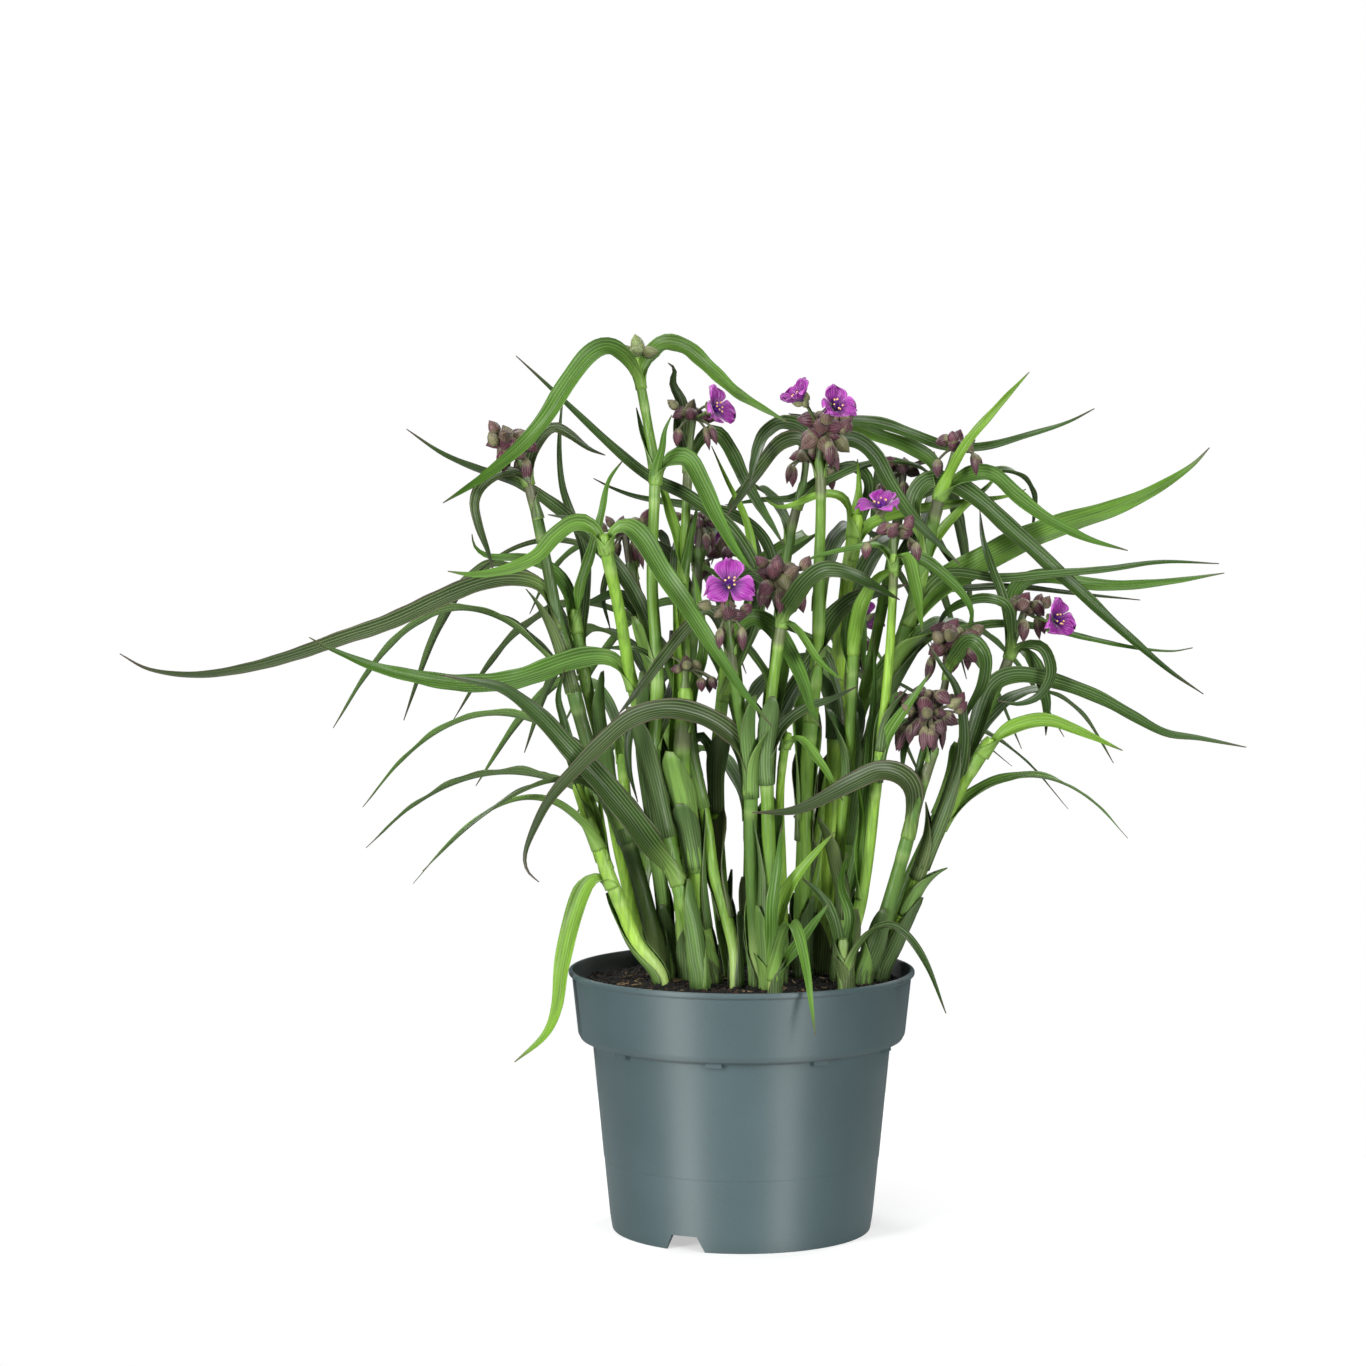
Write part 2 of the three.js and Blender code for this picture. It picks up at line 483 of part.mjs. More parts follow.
function toManifold(vertices, triangles) {
  let volume = 0;
  for (const [a, b, c] of triangles) volume += dot(vertices[a], cross(vertices[b], vertices[c]));
  const facing = volume < 0 ? triangles.map(([a, b, c]) => [a, c, b]) : triangles;
  const mesh = new wasm.Mesh({
    numProp: 3,
    vertProperties: Float32Array.from(vertices.flat()),
    triVerts: Uint32Array.from(facing.flat()),
  });
  return new wasm.Manifold(mesh);
}

// A closed skin over rings of points. The diagonals alternate round the ring, so the two faces of a thin
// blade split alike. With tip, the last ring is one point.
function loft(rings, tip) {
  const sides = rings[0].length;
  const vertices = rings.flat();
  const triangles = [];
  for (let i = 0; i < rings.length - 1; i++) {
    for (let j = 0; j < sides; j++) {
      const a = i * sides + j;
      const b = i * sides + ((j + 1) % sides);
      const c = b + sides;
      const d = a + sides;
      if (j % 2) triangles.push([a, b, d], [b, c, d]);
      else triangles.push([a, b, c], [a, c, d]);
    }
  }
  const last = (rings.length - 1) * sides;
  for (let j = 1; j < sides - 1; j++) triangles.push([0, j + 1, j]);
  if (tip) {
    vertices.push(tip);
    for (let j = 0; j < sides; j++) triangles.push([last + j, last + ((j + 1) % sides), vertices.length - 1]);
  } else {
    for (let j = 1; j < sides - 1; j++) triangles.push([last, last + j, last + j + 1]);
  }
  return toManifold(vertices, triangles);
}

function fromThree(geometry) {
  geometry.deleteAttribute('normal');
  geometry.deleteAttribute('uv');
  const merged = mergeVertices(geometry, 1e-4);
  const position = merged.attributes.position.array;
  const index = merged.index.array;
  const vertices = [];
  for (let i = 0; i < position.length; i += 3) vertices.push([position[i], position[i + 1], position[i + 2]]);
  const triangles = [];
  for (let i = 0; i < index.length; i += 3) {
    const [a, b, c] = [index[i], index[i + 1], index[i + 2]];
    if (a !== b && b !== c && c !== a) triangles.push([a, b, c]);
  }
  return toManifold(vertices, triangles);
}

// The largest body only: loose scraps go, and so do hollows that joining has sealed.
function oneBody(solid) {
  const bodies = solid.decompose();
  return bodies.reduce((best, body) => (body.volume() > best.volume() ? body : best));
}

function toMesh(name, solid, colour, roughness) {
  const { vertProperties, triVerts } = oneBody(solid).getMesh();
  const geometry = new THREE.BufferGeometry();
  geometry.setAttribute('position', new THREE.BufferAttribute(vertProperties, 3));
  geometry.setIndex(new THREE.BufferAttribute(triVerts, 1));
  geometry.computeVertexNormals();
  const material = new THREE.MeshStandardMaterial({ color: colour, roughness, metalness: 0 });
  const mesh = new THREE.Mesh(geometry, material);
  mesh.name = name;
  return mesh;
}

// A solid of revolution about Z from an (r, z) outline that starts and ends on the axis.
function turned(outline, sides) {
  const geometry = new THREE.LatheGeometry(outline.map(([r, z]) => new THREE.Vector2(r, z)), sides);
  geometry.rotateX(Math.PI / 2);
  return fromThree(geometry);
}

// Pot

const COLLAR_FOOT_Z = POT_HEIGHT - COLLAR_HEIGHT;
const STEP_Z = COLLAR_FOOT_Z - STEP_HEIGHT;
const NECK_RADIUS = RIM_RADIUS - LIP_OVERHANG;

function potOutline() {
  const lipFoot = POT_HEIGHT - LIP_HEIGHT;
  const outside = [
    [0, 0], [BASE_DISC_RADIUS, 0],
    [CHANNEL_INNER, CHANNEL_HEIGHT], [FOOT_RADIUS - WALL - 0.2, CHANNEL_HEIGHT],
    [FOOT_RADIUS - WALL, 0], [FOOT_RADIUS, 0], [FOOT_RADIUS + 1.3, 8],
    [BODY_RADIUS, STEP_Z], [COLLAR_FOOT_RADIUS - 1.6, STEP_Z + 2], [COLLAR_FOOT_RADIUS, COLLAR_FOOT_Z],
    [NECK_RADIUS, lipFoot - 0.5], [RIM_RADIUS, lipFoot + 0.4], [RIM_RADIUS, POT_HEIGHT - 0.8],
    [RIM_RADIUS - 0.8, POT_HEIGHT],
  ];
  const inside = [
    [NECK_RADIUS - 0.6, POT_HEIGHT], [NECK_RADIUS - WALL, lipFoot - 1],
    [COLLAR_FOOT_RADIUS - WALL, COLLAR_FOOT_Z + 1], [BODY_RADIUS - WALL, STEP_Z + 1],
    [FOOT_RADIUS + 1.6 - WALL, CHANNEL_HEIGHT + WALL], [CHANNEL_INNER - 1, CHANNEL_HEIGHT + WALL],
    [BASE_DISC_RADIUS - 1, WALL], [0, WALL],
  ];
  return outside.concat(inside);
}

// A wedge-topped cutter through the foot, pointing out along +X.
function notchCutter() {
  const shape = new THREE.Shape([
    new THREE.Vector2(-NOTCH_FOOT_WIDTH / 2, -1),
    new THREE.Vector2(NOTCH_FOOT_WIDTH / 2, -1),
    new THREE.Vector2(NOTCH_TOP_WIDTH / 2, NOTCH_HEIGHT),
    new THREE.Vector2(-NOTCH_TOP_WIDTH / 2, NOTCH_HEIGHT),
  ]);
  const geometry = new THREE.ExtrudeGeometry(shape, { depth: 20, bevelEnabled: false });
  geometry.rotateX(Math.PI / 2);
  geometry.rotateZ(Math.PI / 2);
  geometry.translate(FOOT_RADIUS - 14, 0, 0);
  return fromThree(geometry);
}

function drainCutter() {
  const geometry = new THREE.CylinderGeometry(DRAIN_HOLE_RADIUS, DRAIN_HOLE_RADIUS, 8, 10);
  geometry.rotateX(Math.PI / 2);
  geometry.translate(DRAIN_RING_RADIUS, 0, CHANNEL_HEIGHT + WALL / 2);
  return fromThree(geometry);
}

function pot() {
  let solid = turned(potOutline(), POT_SIDES);
  for (let i = 0; i < NOTCHES; i++) {
    solid = solid.subtract(notchCutter().rotate([0, 0, FIRST_NOTCH_DEG + (i * 360) / NOTCHES]));
  }
  for (let i = 0; i < DRAIN_HOLES; i++) {
    solid = solid.subtract(drainCutter().rotate([0, 0, ((i + 0.5) * 360) / DRAIN_HOLES]));
  }
  return toMesh('pot', solid, 0x5f7177, 0.45);
}

// Soil: it fills the pot to a little under the rim, with an uneven top and a plain hole for each stem.
function soil(feet) {
  const draw = seeded(41);
  const floor = CHANNEL_HEIGHT + WALL + GAP;
  const wallAt = (z) => {
    const rise = (z - COLLAR_FOOT_Z) / (POT_HEIGHT - LIP_HEIGHT - COLLAR_FOOT_Z);
    return COLLAR_FOOT_RADIUS + (NECK_RADIUS - COLLAR_FOOT_RADIUS) * rise - WALL - 0.5;
  };
  const profile = [
    [BASE_DISC_RADIUS - 2, WALL + GAP], [CHANNEL_INNER - 1.5, floor], [FOOT_RADIUS + 1 - WALL, floor],
    [BODY_RADIUS - WALL - 0.6, STEP_Z + 1.2], [COLLAR_FOOT_RADIUS - WALL - 0.8, COLLAR_FOOT_Z + 1.6],
    [wallAt(SOIL_TOP), SOIL_TOP - 1],
  ];
  const rings = profile.map(([r, z]) => soilRing(r, () => z));
  for (const r of [...SOIL_RINGS].reverse()) {
    rings.push(soilRing(r, () => SOIL_TOP + (draw() - 0.5) * 2 * SOIL_RELIEF));
  }
  let solid = loft(rings, [0, 0, SOIL_TOP + 0.5]);
  for (const { at, radius } of feet) {
    const reach = (radius + GAP) / Math.cos(Math.PI / HOLE_SIDES);
    const geometry = new THREE.CylinderGeometry(reach, reach, 40, HOLE_SIDES);
    geometry.rotateX(Math.PI / 2);
    geometry.translate(at[0], at[1], STEM_FOOT - GAP + 20);
    solid = solid.subtract(fromThree(geometry));
  }
  return toMesh('potting_soil', solid, 0x2b211b, 0.95);
}

function soilRing(r, height) {
  const ring = [];
  for (let i = 0; i < SOIL_SECTORS; i++) {
    const turn = (i * 2 * Math.PI) / SOIL_SECTORS;
    ring.push([r * Math.cos(turn), r * Math.sin(turn), height()]);
  }
  return ring;
}

// The room that the plant has grown into, in cells that remember what they are near. A cell near two
// things is SHARED.
const CELL = 2;
const ROOM_CORNER = [-372.137, -182.137, 40.137];
const ROOM_CELLS = [340, 240, 240];
const SHARED = -1;
const POT_OWNER = 99;
const room = new Int16Array(ROOM_CELLS[0] * ROOM_CELLS[1] * ROOM_CELLS[2]);

function cellOf(p) {
  return p.map((v, i) => Math.floor((v - ROOM_CORNER[i]) / CELL));
}

function cellIndex(i, j, k) {
  return (i * ROOM_CELLS[1] + j) * ROOM_CELLS[2] + k;
}

function inRoom(i, j, k) {
  return i >= 0 && j >= 0 && k >= 0 && i < ROOM_CELLS[0] && j < ROOM_CELLS[1] && k < ROOM_CELLS[2];
}

// Marks the cells whose middles lie within reach of a point.
function occupy(p, reach, owner) {
  const [a, b, c] = cellOf(p);
  const span = Math.ceil(reach / CELL);
  for (let i = a - span; i <= a + span; i++) {
    for (let j = b - span; j <= b + span; j++) {
      for (let k = c - span; k <= c + span; k++) {
        if (!inRoom(i, j, k)) continue;
        const middle = [i, j, k].map((n, axis) => ROOM_CORNER[axis] + (n + 0.5) * CELL);
        if (size(sub(middle, p)) > reach) continue;
        const index = cellIndex(i, j, k);
        if (room[index] === 0) room[index] = owner;
        else if (room[index] !== owner) room[index] = SHARED;
      }
    }
  }
}

function ringOfRoom(r, z) {
  const count = Math.max(1, Math.ceil((2 * Math.PI * r) / 3));
  for (let i = 0; i < count; i++) {
    const turn = (i * 2 * Math.PI) / count;
    occupy([r * Math.cos(turn), r * Math.sin(turn), z], 3.6, POT_OWNER);
  }
}

function taken(p, own) {
  const [i, j, k] = cellOf(p);
  if (!inRoom(i, j, k)) return false;
  const owner = room[cellIndex(i, j, k)];
  return owner !== 0 && owner !== own;
}

// Stems

// An axis is a stem's or twig's smooth line, with its radius from foot to tip.
function stemAxis(route, depths, radii) {
  const rise = route.at(-1)[1] - route[0][1];
  const points = route.map(([x, z]) => {
    const up = (z - route[0][1]) / rise;
    return seen(x, z, depths[0] + (depths[1] - depths[0]) * up);
  });
  const foot = [points[0][0], points[0][1], STEM_FOOT];
  const line = smoothLine([foot, [foot[0], foot[1], STEM_STRAIGHT], ...points.slice(1)]);
  return { line, radii, twig: false };
}

function twigAxis(parent, radius, reach, route) {
  const root = nearestOnAxes([parent], route[0]);
  const points = route.map(([x, z], i) => seen(x, z, root.at[1] + (reach * i) / (route.length - 1)));
  points[0] = root.at;
  return { line: smoothLine(points), radii: [radius, radius * 0.85], twig: true };
}

function radiusAt(axis, distance) {
  return axis.radii[0] + ((axis.radii[1] - axis.radii[0]) * distance) / axis.line.total;
}

// The place on a shoot's axes that looks nearest to a route point from the front.
function nearestOnAxes(axes, [x, z]) {
  let best = null;
  for (const axis of axes) {
    for (let d = LOWEST_ROOT; d <= axis.line.total; d += 1) {
      const at = pointAt(axis.line, d);
      const off = size(sub(seen(x, z, at[1]), at));
      if (!best || off < best.off) best = { axis, distance: d, at, off };
    }
  }
  return best;
}

function heightOnAxis(axis, z) {
  let d = 0;
  while (d < axis.line.total && pointAt(axis.line, d)[2] < z) d += 1;
  return { axis, distance: d, at: pointAt(axis.line, d) };
}

// A stem swells into a sheath under each leaf that grows from it.
function stemSolid(axis, leafDistances) {
  const straight = axis.twig ? 0 : STEM_STRAIGHT - STEM_FOOT;
  const stops = new Map([[0, 1], [straight, 1], [axis.line.total, 1]]);
  const steps = Math.ceil(axis.line.total / RING_SPACING);
  for (const d of leafDistances) {
    if (d > straight + SHEATH_LENGTH + 3 && d < axis.line.total - 4) {
      stops.set(d - SHEATH_LENGTH, SHEATH_SWELL);
      stops.set(d, SHEATH_SWELL * 1.03);
    }
  }
  for (let i = 1; i < steps; i++) {
    const d = (axis.line.total * i) / steps;
    if (d > straight && ![...stops.keys()].some((other) => Math.abs(other - d) < 12)) stops.set(d, 1);
  }
  const order = [...stops.keys()].sort((a, b) => a - b);
  const spaced = order.filter((d, i) => i === 0 || i === order.length - 1 || d - order[i - 1] > 4);
  const rings = spaced.map((d) => {
    const frame = frameAt(axis.line, d, BACK, 0, 1);
    const radius = radiusAt(axis, d) * stops.get(d);
    return circle(frame.at, frame.wide, frame.face, radius, STEM_SIDES);
  });
  return loft(rings);
}

function circle(at, a, b, radius, sides) {
  const ring = [];
  for (let i = 0; i < sides; i++) {
    const turn = (i * 2 * Math.PI) / sides;
    ring.push(add(at, add(scale(a, radius * Math.cos(turn)), scale(b, radius * Math.sin(turn)))));
  }
  return ring;
}

// Leaves

// How far a leaf strays sideways at a share of its length, through 0, near at 0.4 and far at the tip.
function stray(share, near, far) {
  return (near * share * (1 - share)) / 0.24 + (far * share * (share - 0.4)) / 0.6;
}

// A traced leaf follows its route in the front view and strays along the line of sight.
function tracedLeaf(root, [wide, roll, reach, tone, route]) {
  const run = [0];
  for (let i = 1; i < route.length; i++) {
    run.push(run[i - 1] + size([route[i][0] - route[i - 1][0], route[i][1] - route[i - 1][1], 0]));
  }
  const path = (near, far) => route.map(([x, z], i) => {
    if (i === 0) return root.at;
    return seen(x, z, root.at[1] + stray(run[i] / run.at(-1), near, far));
  });
  const side = route.at(-1)[0] >= route[0][0] ? 1 : -1;
  const home = [reach * 0.35, reach];
  return { root, wide, roll: radians(roll), tone, path, home, across: BACK, side };
}

// A leaf by rule arches out from its stem towards an azimuth, and strays to either side of it.
function archedLeaf(root, [, azimuth, long, rise, wide, tone]) {
  const turn = radians(azimuth);
  const out = [Math.cos(turn), Math.sin(turn), 0];
  const aside = [-Math.sin(turn), Math.cos(turn), 0];
  const shares = [0, 0.12, 0.28, 0.46, 0.64, 0.82, 1];
  const path = (near, far) => shares.map((s) => {
    const lift = rise * (4.2 * s - 4.9 * s * s);
    const forward = long * 0.85 * s;
    return add(root.at, add(scale(out, forward), add(scale(aside, stray(s, near, far)), scale(UP, lift))));
  });
  return { root, wide, roll: radians(14), tone, path, home: [0, 0], across: aside, side: 1 };
}

// Half the blade's width at a share of its length: clasping the stem, widest near a quarter, long taper.
function halfWidth(leaf, share) {
  const full = leaf.wide / 2;
  const root = Math.min(full * 0.75, radiusAt(leaf.root.axis, leaf.root.distance) * 0.65);
  if (share < 0.16) return root + (full - root) * (share / 0.16);
  const fall = Math.max(0, (share - 0.3) / 0.7);
  return full * (1 - fall ** 1.5) + 0.25 * fall;
}

const fold = (share) => Math.tan(radians(34 - 22 * share));

// The blade's four-point section: left edge, upper midrib, right edge, lower midrib.
function bladeRing(leaf, line, share, grow) {
  const frame = frameAt(line, line.total * share, leaf.across, leaf.roll, leaf.side);
  const half = halfWidth(leaf, share) + grow;
  const keel = half * fold(share) * 0.5;
  const rib = MIDRIB * (0.5 - 0.2 * share) + grow;
  const place = (w, f) => add(frame.at, add(scale(frame.wide, w), scale(frame.face, f)));
  return [place(-half, keel), place(0, rib - keel), place(half, keel), place(0, -rib - keel)];
}

// Shares of the length at which a blade gets a ring, closer together where it bends.
function bladeStops(line) {
  const effort = [0];
  for (let i = 1; i < line.fine.length; i++) {
    const before = unit(sub(line.fine[i], line.fine[i - 1]));
    const after = i + 1 < line.fine.length ? unit(sub(line.fine[i + 1], line.fine[i])) : before;
    const bend = Math.acos(clamp(dot(before, after), -1, 1));
    effort.push(effort[i - 1] + (line.run[i] - line.run[i - 1]) / LEAF_SEGMENT + bend / LEAF_BEND);
  }
  const steps = clamp(Math.round(effort.at(-1)), 3, LEAF_MOST_SEGMENTS);
  const stops = [];
  let i = 1;
  for (let n = 0; n < steps; n++) {
    const goal = (effort.at(-1) * n) / steps;
    while (effort[i] < goal) i++;
    const t = (goal - effort[i - 1]) / (effort[i] - effort[i - 1]);
    stops.push((line.run[i - 1] + (line.run[i] - line.run[i - 1]) * t) / line.total);
  }
  return stops;
}

function bladeSolid(leaf, grow = 0) {
  const { line } = leaf;
  const rings = bladeStops(line).map((share) => bladeRing(leaf, line, share, grow));
  return loft(rings, pointAt(line, line.total));
}

// Points spread over a blade, from clear of the stem to the tip.
function bladePoints(leaf, line) {
  const points = [];
  const steps = Math.ceil(line.total / 2.5);
  const first = Math.ceil(steps * Math.min(0.5, SKIP / line.total));
  for (let i = first; i <= steps; i++) {
    const share = i / steps;
    const frame = frameAt(line, line.total * share, leaf.across, leaf.roll, leaf.side);
    const half = halfWidth(leaf, share);
    const count = Math.ceil(half / 1.25);
    for (let j = -count; j <= count; j += 2) {
      points.push(add(frame.at, scale(frame.wide, (half * j) / count)));
    }
  }
  return points;
}

const SKIP = 9;
const NEAR_SWINGS = [0, 5, -5, 10, -10, 16, -16, 23, -23, 31, -31];
const FAR_SWINGS = [0, 9, -9, 18, -18, 28, -28, 40, -40, 54, -54];

// Every pair of swings, the smallest first.
const SWINGS = [];
for (let sum = 0; sum <= NEAR_SWINGS.length + FAR_SWINGS.length - 2; sum++) {
  for (let i = 0; i <= sum; i++) {
    const [near, far] = [NEAR_SWINGS[i], FAR_SWINGS[sum - i]];
    if (near !== undefined && far !== undefined) SWINGS.push([near, far]);
  }
}

// Bends a leaf clear of what has grown before it: the first of the swings that meets nothing, or else
// the one that meets least.
function settle(leaf, stemOwner, owner) {
  let best = null;
  for (const [near, far] of SWINGS) {
    const line = smoothLine(leaf.path(leaf.home[0] + near, leaf.home[1] + far));
    let hits = 0;
    for (const p of bladePoints(leaf, line)) {
      if (taken(p, stemOwner)) hits++;
      if (best && hits >= best.hits) break;
    }
    if (!best || hits < best.hits) best = { hits, line };
    if (hits === 0) break;
  }
  leaf.line = best.line;
  leaf.hits = best.hits;
  for (const p of bladePoints(leaf, best.line)) occupy(p, 3, owner);
}

// Heads and flowers

// A head is a small core whose skin is drawn out into pointed buds, one at each corner of an
// icosahedron, or of an octahedron where the head isn't full. Buds shorten where something is near.
function budSkin(head, axis) {
  const Shape = head.full ? THREE.IcosahedronGeometry : THREE.OctahedronGeometry;
  const corners = [];
  const seedShape = new Shape(1, 0).attributes.position;
  for (let i = 0; i < seedShape.count; i++) {
    const corner = new THREE.Vector3().fromBufferAttribute(seedShape, i);
    if (!corners.some((other) => other.distanceTo(corner) < 0.1)) corners.push(corner);
  }
  const top = corners[0].clone().normalize();
  const turn = new THREE.Quaternion().setFromUnitVectors(top, new THREE.Vector3(...axis));
  const draw = seeded(head.owner);
  const buds = corners.map((corner) => {
    const out = corner.applyQuaternion(turn).toArray();
    const long = dot(out, axis) < -0.9 ? 0 : head.long * (0.8 + 0.4 * draw());
    return { out, long: clearLength(head, out, long) };
  });
  const geometry = new Shape(1, 2);
  const position = geometry.attributes.position;
  for (let i = 0; i < position.count; i++) {
    const point = new THREE.Vector3().fromBufferAttribute(position, i).applyQuaternion(turn);
    const skin = point.normalize().toArray();
    const bud = buds.reduce((best, other) => (dot(other.out, skin) > dot(best.out, skin) ? other : best));
    position.setXYZ(i, ...add(head.centre, budPoint(head, bud, skin)));
  }
  return fromThree(geometry);
}

// Where a point of the core's skin goes: the corner itself is a bud's tip, the ring round it is the
// bud's fattest place, and the rest stays on the core.
function budPoint(head, bud, skin) {
  const near = dot(bud.out, skin);
  if (near > 0.999) return scale(bud.out, head.core + bud.long);
  if (near < BUD_EDGE) return scale(skin, head.core);
  const aside = unit(sub(skin, scale(bud.out, near)));
  return add(scale(bud.out, head.core + bud.long * 0.3), scale(aside, head.fat));
}

function clearLength(head, out, long) {
  for (const share of [1, 0.8, 0.6, 0.4]) {
    const reach = head.core + long * share;
    const met = [0.5, 0.75, 1].some((s) => taken(add(head.centre, scale(out, reach * s)), head.owner));
    if (!met) return long * share;
  }
  return long * 0.2;
}

// Turns an azimuth and a height in degrees into a direction.
function heading(azimuth, height) {
  const [a, h] = [radians(azimuth), radians(height)];
  return [Math.cos(a) * Math.cos(h), Math.sin(a) * Math.cos(h), Math.sin(h)];
}

const FLOWER_FOOT = 5;
const PETAL_ROOT = 1.3;
const PETAL_WIDTHS = [[0, 0.15], [0.4, 0.9], [0.78, 0.88]];

function flowerSolid(centre, facing, petal, open) {
  const foot = add(centre, scale(facing, -FLOWER_FOOT + GAP));
  const a = unit(cross(facing, UP));
  const b = cross(a, facing);
  const cup = loft([
    circle(foot, a, b, 1.4, BUD_SIDES),
    circle(centre, a, b, 2.6, BUD_SIDES),
  ], add(centre, scale(facing, 3.5)));
  const parts = [cup];
  for (let i = 0; i < 3; i++) {
    const turn = radians(90 + 120 * i);
    const round = add(scale(a, Math.cos(turn)), scale(b, Math.sin(turn)));
    parts.push(petalSolid(centre, facing, round, petal, radians(open)));
  }
  return wasm.Manifold.union(parts);
}

// A broad petal that leaves the cup and bends outwards.
function petalSolid(centre, facing, round, long, open) {
  const wide = cross(facing, round);
  const lean = (share) => open * (0.75 + 0.25 * share);
  const spot = (share) => {
    const run = long * share;
    const forward = scale(facing, run * Math.cos(lean(share)));
    return add(centre, add(forward, scale(round, PETAL_ROOT + run * Math.sin(lean(share)))));
  };
  const rings = PETAL_WIDTHS.map(([share, width]) => {
    const face = sub(scale(facing, Math.sin(lean(share))), scale(round, Math.cos(lean(share))));
    const half = long * 0.46 * width;
    const place = (w, f) => add(spot(share), add(scale(wide, w), scale(face, f)));
    return [place(-half, half * 0.15), place(0, 0.5), place(half, half * 0.15), place(0, -0.5)];
  });
  return loft(rings, spot(1));
}

function pedicelSolid(from, to, facing) {
  const line = smoothLine([from, add(scale(add(from, to), 0.5), scale(facing, -2)), to]);
  const frames = [0, 0.5].map((share) => frameAt(line, line.total * share, ASLANT, 0, 1));
  frames.push(frameAlong(to, facing, ASLANT, 0, 1));
  return loft(frames.map((frame) => circle(frame.at, frame.wide, frame.face, 1, BUD_SIDES)));
}

// Growing the plant

const stems = SHOOTS.map(([name, depths, radii, route, traced, arcs, twigs], index) => {
  const main = stemAxis(route, depths, radii);
  const axes = [main];
  for (const twig of twigs) axes.push(twigAxis(main, ...twig));
  return { name, owner: index + 1, axes, traced, arcs };
});

for (const stem of stems) {
  for (const axis of stem.axes) {
    for (let d = 0; d <= axis.line.total; d += 2) {
      occupy(pointAt(axis.line, d), radiusAt(axis, d) * 1.1 + 1.7, stem.owner);
    }
  }
}

// Leaves keep off the soil and the pot's wall.
for (let r = 0; r < RIM_RADIUS; r += 3) ringOfRoom(r, SOIL_TOP);
for (let z = STEP_Z; z <= POT_HEIGHT; z += 3) ringOfRoom(NECK_RADIUS - 1, z);
for (let z = 50; z < STEP_Z; z += 3) ringOfRoom(BODY_RADIUS - 1, z);

let nextOwner = 100;

const heads = HEADS.map(([name, stemName, axisIndex, spot, back, core, full, long, fat, tone]) => {
  const stem = stems.find((s) => s.name === stemName);
  const { line, radii } = stem.axes[axisIndex];
  const tip = pointAt(line, line.total);
  const centre = seen(spot[0], spot[1], tip[1] + back);
  const owner = nextOwner++;
  occupy(centre, core + long * 0.55 + 1.5, owner);
  return { name, stem, line, radii, tip, centre, core, full, long, fat, tone, owner, flowers: [] };
});

const flowers = FLOWERS.map(([name, headName, spot, back, azimuth, height, petal, open]) => {
  const head = heads.find((h) => h.name === headName);
  const centre = seen(spot[0], spot[1], head.centre[1] + back);
  const facing = heading(azimuth, height);
  const flower = { name, centre, facing, petal, open, owner: nextOwner++ };
  occupy(add(centre, scale(facing, 2)), petal + 1.5, flower.owner);
  head.flowers.push(flower);
  return flower;
});

const leaves = [];
for (const stem of stems) {
  stem.leaves = stem.traced.map((row) => tracedLeaf(nearestOnAxes(stem.axes, row[4][0]), row));
  for (const row of stem.arcs) stem.leaves.push(archedLeaf(heightOnAxis(stem.axes[0], row[0]), row));
  leaves.push(...stem.leaves.map((leaf) => ({ leaf, stem })));
}
for (const { leaf, stem } of leaves) settle(leaf, stem.owner, nextOwner++);

function shootMesh(stem) {
  const parts = stem.axes.map((axis) => {
    const onAxis = stem.leaves.filter((leaf) => leaf.root.axis === axis);
    return stemSolid(axis, onAxis.map((leaf) => leaf.root.distance));
  });
  for (const leaf of stem.leaves) parts.push(bladeSolid(leaf));
  const tone = stem.leaves[0].tone;
  return toMesh(stem.name, wasm.Manifold.union(parts), LEAF_COLOURS[tone], 0.55);
}

// What stands within reach of a head or flower, a little larger, to cut it clear.
function neighbours(centre, reach) {
  const near = [];
  for (const { leaf } of leaves) {
    if (leaf.line.fine.some((p) => size(sub(p, centre)) < reach)) near.push(bladeSolid(leaf, CUT_GROW));
  }
  return near;
}

function headMesh(head) {
  const axis = unit(sub(pointAt(head.line, head.line.total), pointAt(head.line, head.line.total - 2)));
  const upward = unit(add(sub(head.centre, head.tip), scale(UP, 8)));
  const start = add(head.tip, scale(axis, SEAT_GAP));
  const a = unit(cross(axis, BACK));
  const b = cross(axis, a);
  const stalk = loft([
    circle(start, a, b, head.radii[1] * 0.8, 6),
    circle(add(start, scale(sub(head.centre, start), 0.5)), a, b, 1.9, 6),
    circle(head.centre, a, b, 2.2, 6),
  ]);
  const parts = [stalk, budSkin(head, upward)];
  for (const flower of head.flowers) {
    const end = add(flower.centre, scale(flower.facing, -FLOWER_FOOT));
    parts.push(pedicelSolid(head.centre, end, flower.facing));
  }
  let solid = wasm.Manifold.union(parts);
  for (const cutter of neighbours(head.centre, 26)) solid = solid.subtract(cutter);
  return toMesh(head.name, solid, HEAD_COLOURS[head.tone], 0.6);
}

function flowerMesh(flower) {
  let solid = flowerSolid(flower.centre, flower.facing, flower.petal, flower.open);
  for (const cutter of neighbours(flower.centre, 26)) solid = solid.subtract(cutter);
  return toMesh(flower.name, solid, PETAL_COLOUR, 0.5);
}

const plant = new THREE.Group();
for (const stem of stems) plant.add(shootMesh(stem));
for (const head of heads) plant.add(headMesh(head));
for (const flower of flowers) plant.add(flowerMesh(flower));

const pottedPlant = new THREE.Group();
pottedPlant.add(pot());
pottedPlant.add(soil(stems.map((stem) => ({
  at: stem.axes[0].line.fine[0],
  radius: stem.axes[0].radii[0],
}))));
pottedPlant.add(plant);

export default pottedPlant;
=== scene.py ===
"""A potted tradescantia: the looks of its pot, soil, stems, strap leaves, bud heads and flowers."""

import itertools
import math
import random

import bmesh
import bpy
import numpy as np
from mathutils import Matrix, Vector, noise


